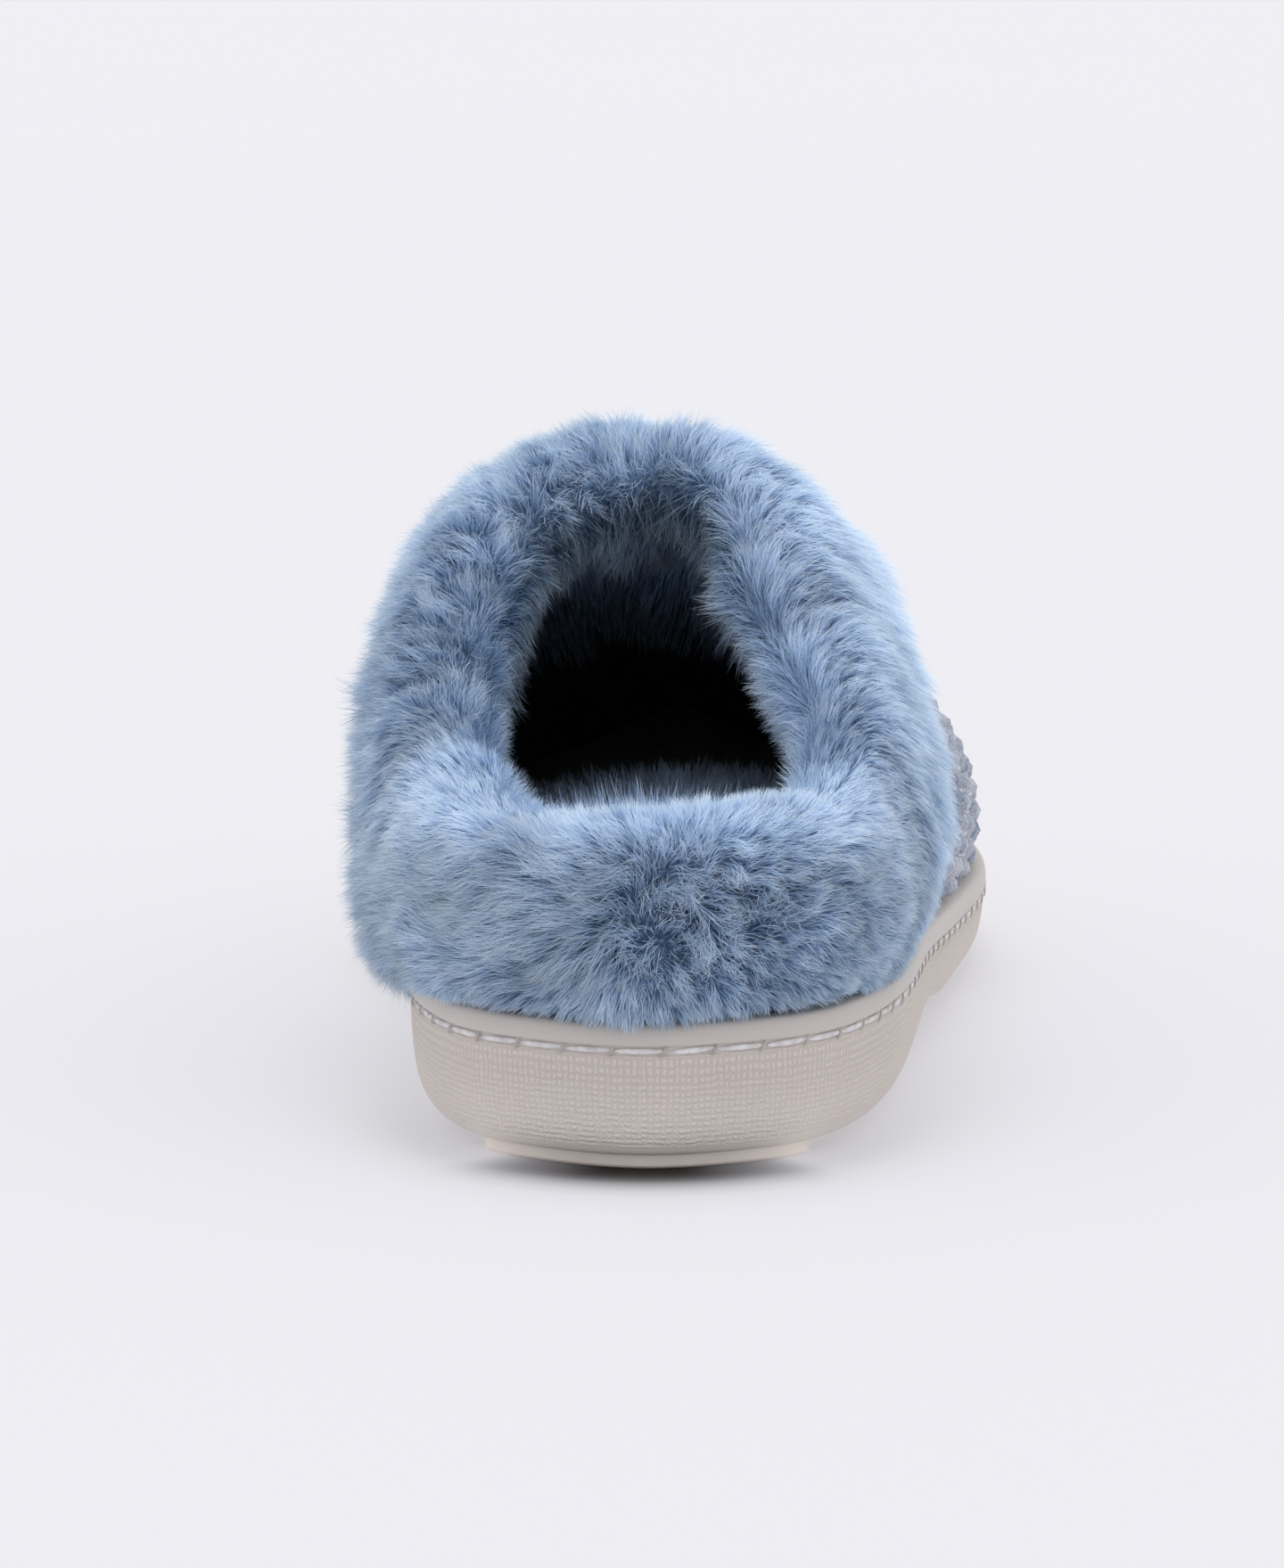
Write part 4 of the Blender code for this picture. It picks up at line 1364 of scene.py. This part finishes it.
def combSkin(rings, angles):
    combBy, messBy, riseBy = fur["combBy"], fur["messBy"], fur["riseBy"]
    reachBy, toneBy = fur["reachBy"], fur["toneBy"]
    climb = unit(np.gradient(rings, axis=0))
    around = unit(np.roll(rings, -1, axis=1) - np.roll(rings, 1, axis=1))
    normal = unit(np.cross(around, climb))
    angle = np.broadcast_to(angles[:, None], rings.shape[:2])
    rows = np.arange(len(rings))
    x, y, z = np.moveaxis(rings, -1, 0)
    # the inner side is curly
    curled = zone("curlSide", x) * zone("curlBack", y) * zone("curlFront", y) * zone("curlOver", angle)
    lump = fur["lumps"] * uneven("lumps", rings) + fur["curls"] * curled * uneven("curls", rings)
    rings = rings + normal * lump[..., None]
    x, y, z = np.moveaxis(rings, -1, 0)
    throat = zone("throat", y)
    parting = fur["parting"] + (fur["throatParting"] - fur["parting"]) * throat
    split = np.clip((parting - angle) / (combBy["split"] + combBy["throatSplit"] * throat), -1.0, 1.0)
    comb = -climb * split[..., None]
    outerSide = 1.0 - zone("outside", angle)
    innerSide = zone("inside", angle)
    # the sides fall back towards the heel; inner edges run along the opening and hang into the throat
    medial = zone("medial", -x)
    rim = zone("rim", rows)[:, None]
    flank = zone("flankBack", y) * zone("flankFront", y) * outerSide * rim
    comb = comb + around * (combBy["flank"] * flank * (2.0 * zone("crossing", -x) - 1.0))[..., None]
    opening = combBy["opening"] * medial * (1.0 - throat) + combBy["throatEdge"] * throat
    comb = comb + around * (innerSide * opening)[..., None]
    comb = comb + climb * (combBy["throatHang"] * innerSide * throat)[..., None]
    # at the heel the pile runs out to both sides from a seam
    back = zone("heel", y)
    heel = back * outerSide
    low, high = fur["seam"]
    line = high - low
    share = np.clip((rings - low) @ line / (line @ line), 0.0, 1.0)
    away = rings - low - share[..., None] * line
    away = away + around * (combBy["seamAround"] * uneven("seamAround", rings))[..., None]
    away = away + climb * (combBy["seamAlong"] * uneven("seamAlong", rings))[..., None]
    radial = away - normal * np.sum(away * normal, axis=-1, keepdims=True)
    hanging = zone("hanging", z) * spot("hanging", x)
    radial = unit(radial) * (1.0 - hanging)[..., None] - climb * hanging[..., None]
    comb = comb * (1.0 - combBy["heel"] * heel)[..., None] + unit(radial) * (combBy["heel"] * heel)[..., None]
    drift = uneven("drift", rings) * combBy["drift"] + uneven("fineDrift", rings) * combBy["fineDrift"]
    # beside the seam the locks curl every way
    middleX, middleZ, halfX, halfZ = fur["tangle"]
    tangled = heel * np.exp(-((((x - middleX) / halfX) ** 2 + ((z - middleZ) / halfZ) ** 2) ** 2))
    whirl = combBy["whirl"] * uneven("whirl", rings)
    loose = around * np.cos(whirl)[..., None] + climb * np.sin(whirl)[..., None]
    # so do those of the inner side, less
    curly = tangled + combBy["curled"] * curled
    comb = comb * (1.0 - curly)[..., None] + loose * curly[..., None]
    parted = 1.0 - np.clip(np.linalg.norm(comb, axis=-1), 0.0, 1.0)
    mess = messBy["plain"] + messBy["curly"] * curly + messBy["throat"] * innerSide * throat
    mess = mess + messBy["flank"] * flank * zone("messSide", x)
    mess = mess + messBy["parted"] * parted
    swing = drift * (messBy["drift"] + mess)
    sideways = np.cross(normal, comb)
    comb = comb * np.cos(swing)[..., None] + sideways * np.sin(swing)[..., None]
    # the heel's roll is short and upright on top
    roll = back * zone("roll", z)
    lean = (1.0 - riseBy["parted"] * parted) * (1.0 - riseBy["tangled"] * tangled) * (1.0 - riseBy["roll"] * roll)
    reach = np.interp(angle, (0.0, 90.0, 180.0), (fur["reachOutside"], fur["reachOver"], fur["reachInside"]))
    reach = reach * (1.0 + (reachBy["plain"] + reachBy["curled"] * curled) * uneven("reach", rings))
    reach = reach * (1.0 - reachBy["roll"] * roll)
    # the lowest rows are short, so that they end on the lip
    lowest = reachBy["lowest"] - reachBy["lowestBack"] * back
    lowest = lowest - reachBy["lowestSide"] * zone("lateral", x) * zone("shortAlong", y)
    reach = reach * (lowest + (1.0 - lowest) * rim)
    tufts = innerSide * throat * spot("tufts", np.abs(x))
    ragged = reachBy["throat"] * innerSide * throat * uneven("throat", rings)
    reach = reach * (1.0 + ragged + reachBy["tufts"] * tufts)
    atRim, pastRim = riseBy["rim"]
    lean = lean * (atRim + pastRim * rim)
    trim = np.maximum(reachBy["trimAlong"] * zone("trimAlong", y), fur["trim"] * zone("trimLow", z))
    trim = trim * np.maximum(rim, zone("trimFront", y))
    reach = reach * (1.0 - trim * zone("lateral", x) * outerSide)
    # painted light and shade: under the throat and down inside it is in the dark and painted darker, the lit zones and
    # the heel roll's top are lighter, and the throat's recess and the shade under its arch are darker
    deep = innerSide * zone("deep", y)
    shown = zone("lit", y) * (toneBy["lit"] + toneBy["litSide"] * zone("litSide", x))
    shown = shown + toneBy["topLit"] * back * zone("topLit", z)
    recess = innerSide * throat * spot("recess", x)
    archShade = throat * spot("archShade", angle)
    tone = toneBy["plain"] + toneBy["mottle"] * uneven("tone", rings) + toneBy["tangled"] * tangled
    tone = tone - toneBy["deep"] * deep + shown
    # painted light: the tufts hanging in the throat are lighter
    tone = tone + toneBy["throat"] * throat * (1.0 - innerSide) + toneBy["tufts"] * tufts * zone("tuftEnd", angle)
    tone = tone - toneBy["recess"] * recess - toneBy["archShade"] * archShade
    # painted shade: the inmost rows at the throat are darker
    inmost = smooth(len(rings) - fur["lastRows"], len(rings) - 1.0, rows)[:, None]
    tone = tone - toneBy["lastRows"] * throat * inmost
    # numbers of the parts, in the order of their names
    outerPart = np.where(y < fur["heelEnd"], 0, np.where(x > fur["ridge"], 1, 2))
    liningPart = np.where(x > fur["ridge"], 4, 5)
    part = np.where(angle > fur["liningFrom"], liningPart, np.where(angle > fur["toplineFrom"], 3, outerPart))
    return rings, {"Comb": unit(comb), "Lean": lean, "Reach": reach * mm, "Mess": mess, "Tone": tone}, part


def makeFur():
    rings, fields, part = combSkin(*makeSkin())
    mesh = tubeMesh("furBacking", rings)
    pieces = [linkObject("furBacking", mesh, makeCloth("furBacking", *fur["backing"]))]
    skin = mesh.copy()
    setFields(skin, fields)
    setParts(skin, part[:-1])
    material = makePile("furPile", fur)
    tree = makePileTree()
    for number, (name, share) in enumerate(fur["parts"]):
        seed = fur["seed"] + fur["seedStep"] * number
        pieces.append(growPile(name, skin, tree, fur, number, seed, material, share))
    return pieces, tree


furPieces, pileTree = makeFur()
for piece in furPieces:
    finishPiece(piece, "fur_collar")
print("fur done")

# short pile of the lining, as far in as it shows
liningPile = {
    "columns": 160,
    "shown": (100.0, 215.0),
    "lowest": 42.0,
    "pile": 7.0,
    "strands": 6.0e5,
    "locks": 1.2e5,
    "width": 0.0004,
    "pull": 0.5,
    "rootLean": 10.0,
    "tipLean": 60.0,
    "droop": 0.2,
    "root": (0.09, 0.165, 0.30),
    "middle": (0.26, 0.40, 0.60),
    "tip": (0.48, 0.63, 0.82),
    "cool": fur["cool"],
    "sheen": 0.1,
    "seed": 200,
}


def faceCentres(mesh):
    return np.array([face.center for face in mesh.polygons]) / mm - originShift


def makeLiningPile():
    rings = liningRings(wholeTurn(liningPile["columns"]))
    skin = tubeMesh("liningSkin", rings)
    flat = rings.reshape(-1, 3)
    comb = (0.7 * softNoise(flat, 14.0, 31), -np.ones(len(flat)), 0.5 * softNoise(flat, 16.0, 32))
    setFields(skin, {
        "Comb": unit(np.stack(comb, axis=-1)),
        "Lean": 0.6,
        "Reach": liningPile["pile"] * mm * (1.0 + 0.2 * softNoise(flat, 9.0, 33)),
        "Mess": 0.7,
        # painted shade: the pile darkens further in
        "Tone": 0.75 - 0.6 * smooth(*liningPile["shown"], flat[:, 1]),
    })
    y, z = faceCentres(skin).T[1:]
    near, far = liningPile["shown"]
    setParts(skin, (y > near) & (y < far) & (z > liningPile["lowest"]))
    material = makePile("liningPile", liningPile)
    return growPile("liningPile", skin, pileTree, liningPile, 1, liningPile["seed"], material)


finishPiece(makeLiningPile(), "upper")

# plush footbed
footbed = {
    "columns": 200,
    "crown": 6.0,
    "crownRows": 9,
    # inset and drop of the rounded edge's rings
    "edge": ((0.0, 3.0), (0.35, 1.3), (1.2, 0.5), (2.6, 0.1), (4.0, 0.0)),
    "pile": 7.5,
    "deeper": 0.9,
    # the pile is deeper near the heel and lighter there as painted light, and ends further on
    "nearHeel": (78.0, 42.0),
    "pileEnd": 165.0,
    "cloth": ((0.30, 0.40, 0.53), (0.45, 0.56, 0.71), 1400.0, 0.0008, 0.2),
    "shown": (-0.09, -0.03, 1.3),
    "strands": 1.3e6,
    "locks": 1.5e5,
    "width": 0.00025,
    "pull": 0.5,
    "rootLean": 15.0,
    "tipLean": 60.0,
    "droop": 0.0,
    "root": (0.22, 0.37, 0.58),
    "middle": (0.43, 0.60, 0.84),
    "tip": (0.60, 0.74, 0.90),
    "cool": fur["cool"],
    "sheen": 0.15,
    "seed": 140,
}


def makeFootbed():
    turn = wholeTurn(footbed["columns"])
    inset = last["lipWidth"] + 2.0 * last["gap"] + last["wall"]
    top = heightAt("footbed", turn)
    rings = [soleRing(turn, inset, heightAt("floor", turn) + last["gap"])]
    for share, drop in footbed["edge"]:
        rings.append(soleRing(turn, inset + share, top - drop))
    edge = rings[-1]
    spine = edge.copy()
    spine[:, 0] = (edge[:, 0] + edge[(-np.arange(len(turn))) % len(turn), 0]) / 2.0
    for share in np.linspace(0.12, 0.98, footbed["crownRows"]):
        ring = edge + (spine - edge) * share
        ring[:, 2] += footbed["crown"] * math.sin(share * math.pi / 2.0)
        rings.append(ring)
    rings = np.array(rings)
    mesh = tubeMesh("plushFootbed", rings, capFirst=True, capLast=True)
    plush = makeCloth("footbedPlush", *footbed["cloth"])
    # painted light and shade: the plush is lighter near the heel and dark further in
    paintLightAndShadeInside(plush, *footbed["shown"])
    skin = mesh.copy()
    flat = rings.reshape(-1, 3)
    swing = softNoise(flat, 18.0, 21) * 1.2
    near = smooth(*footbed["nearHeel"], flat[:, 1])
    reach = footbed["pile"] * (1.0 + 0.15 * softNoise(flat, 8.0, 22) + footbed["deeper"] * near)
    setFields(skin, {
        "Comb": np.stack((np.sin(swing), -np.cos(swing), np.zeros(len(flat))), axis=-1),
        "Lean": 0.6 - 0.3 * near,
        "Reach": reach * mm,
        "Mess": 0.9,
        # painted light: lighter near the heel
        "Tone": 0.35 + 0.1 * softNoise(flat, 12.0, 23) + 0.5 * near,
    })
    normals = np.array([face.normal for face in mesh.polygons])
    setParts(skin, (normals[:, 2] > 0.5) & (faceCentres(mesh)[:, 1] < footbed["pileEnd"]))
    material = makePile("footbedPile", footbed)
    pile = growPile("footbedPile", skin, pileTree, footbed, 1, footbed["seed"], material)
    return linkObject("plushFootbed", mesh, plush), pile


for piece in makeFootbed():
    finishPiece(piece, "insole")
print("footbed done")

# camera, floor and light
shot = {
    "place": (0.05299, -1.11251, 0.2136),
    "forward": (-0.05169, 0.98634, -0.15643),
    "lens": 157.26,
    "sensorHeight": 36.0,
    "clipEnd": 60.0,
    "floorColumns": 240,
    "soleInset": 4.0,
    "floor": (0.46, 0.457, 0.47),
    "floorTint": (0.4, 0.4, 0.41),
    "glow": (0.385, 0.382, 0.405),
    # distance from the sole's lower edge in mm, and how much of the floor's light is left there under the painted
    # shade
    "paintedContactShadow": ((-12.0, 0.02), (0.0, 0.02), (2.5, 0.03), (5.0, 0.07), (7.5, 0.2), (10.0, 0.48), (12.5, 0.71),
                (15.0, 0.87), (19.0, 0.98), (25.0, 1.0)),
    "paintedShadowTint": (0.008, 0.002, 0.0),
    "floorReach": (300.0, 9000.0),
    "sky": (0.97, 0.975, 1.0),
    "skyStrength": 0.8,
    "sunStrength": 0.75,
    "sunWay": (0.06, -0.2, -1.0),
    "sunSpread": 40.0,
}


def makeStudio():
    data = bpy.data.cameras.new("camera")
    data.lens = shot["lens"]
    data.sensor_fit = "VERTICAL"
    data.sensor_height = shot["sensorHeight"]
    data.clip_end = shot["clipEnd"]
    camera = bpy.data.objects.new("camera", data)
    camera.location = shot["place"]
    camera.rotation_euler = Vector(shot["forward"]).to_track_quat("-Z", "Y").to_euler()
    scene.collection.objects.link(camera)
    scene.camera = camera
    turn = wholeTurn(shot["floorColumns"])
    edge = soleRing(turn, shot["soleInset"], np.zeros_like(turn))
    away = outward(soleLoop, turn)
    far, left = np.array(shot["paintedContactShadow"]).T
    centre = -originShift * (1.0, 1.0, 0.0)
    rings = [edge + away * step for step in far]
    rings += [centre + unit(edge - centre) * reach for reach in shot["floorReach"]]
    mesh = tubeMesh("floor", np.array(rings[::-1]), capLast=True)
    # painted shade on the floor: it is thrown back past the heel
    thrown = 0.14 * smooth(-0.1, 0.5, -away[:, 1]) + 0.86 * smooth(0.7, 0.97, -away[:, 1])
    shade = np.multiply.outer(np.concatenate((1.0 - left, (0.0, 0.0))), thrown)
    setAttribute(mesh, "lightLeftByPaintedShadow", 1.0 - shade[::-1])
    material, tree, shader = newMaterial("paleFloor", 0.8, specular=0.1)
    grain = mottleNode(tree, 60.0, 2.0)
    tint = rangeNode(tree, grain["Broad"], 0.3, 0.7, 0.0, 0.03)
    left = addNode(tree, "ShaderNodeAttribute", attribute_name="lightLeftByPaintedShadow").outputs["Fac"]
    plain = mixColour(tree, tint, shot["floor"], shot["floorTint"])
    # painted shade: near the sole the floor's colour and glow are dimmed and warmed
    kept = mixColour(tree, left, shot["paintedShadowTint"], (1.0, 1.0, 1.0))
    tree.links.new(vectorNode(tree, "MULTIPLY", plain, kept), shader.inputs["Base Color"])
    tree.links.new(vectorNode(tree, "MULTIPLY", shot["glow"], kept), shader.inputs["Emission Color"])
    shader.inputs["Emission Strength"].default_value = 1.0
    linkObject("floor", mesh, material)
    world = bpy.data.worlds.new("studio")
    scene.world = world
    world.use_nodes = True
    sky = world.node_tree.nodes["Background"]
    sky.inputs["Color"].default_value = opaque(shot["sky"])
    sky.inputs["Strength"].default_value = shot["skyStrength"]
    light = bpy.data.lights.new("topLight", "SUN")
    light.energy = shot["sunStrength"]
    light.angle = math.radians(shot["sunSpread"])
    lamp = bpy.data.objects.new("topLight", light)
    lamp.rotation_euler = Vector(shot["sunWay"]).to_track_quat("-Z", "Y").to_euler()
    scene.collection.objects.link(lamp)
    scene.view_settings.view_transform = "Standard"


makeStudio()
print("studio done")
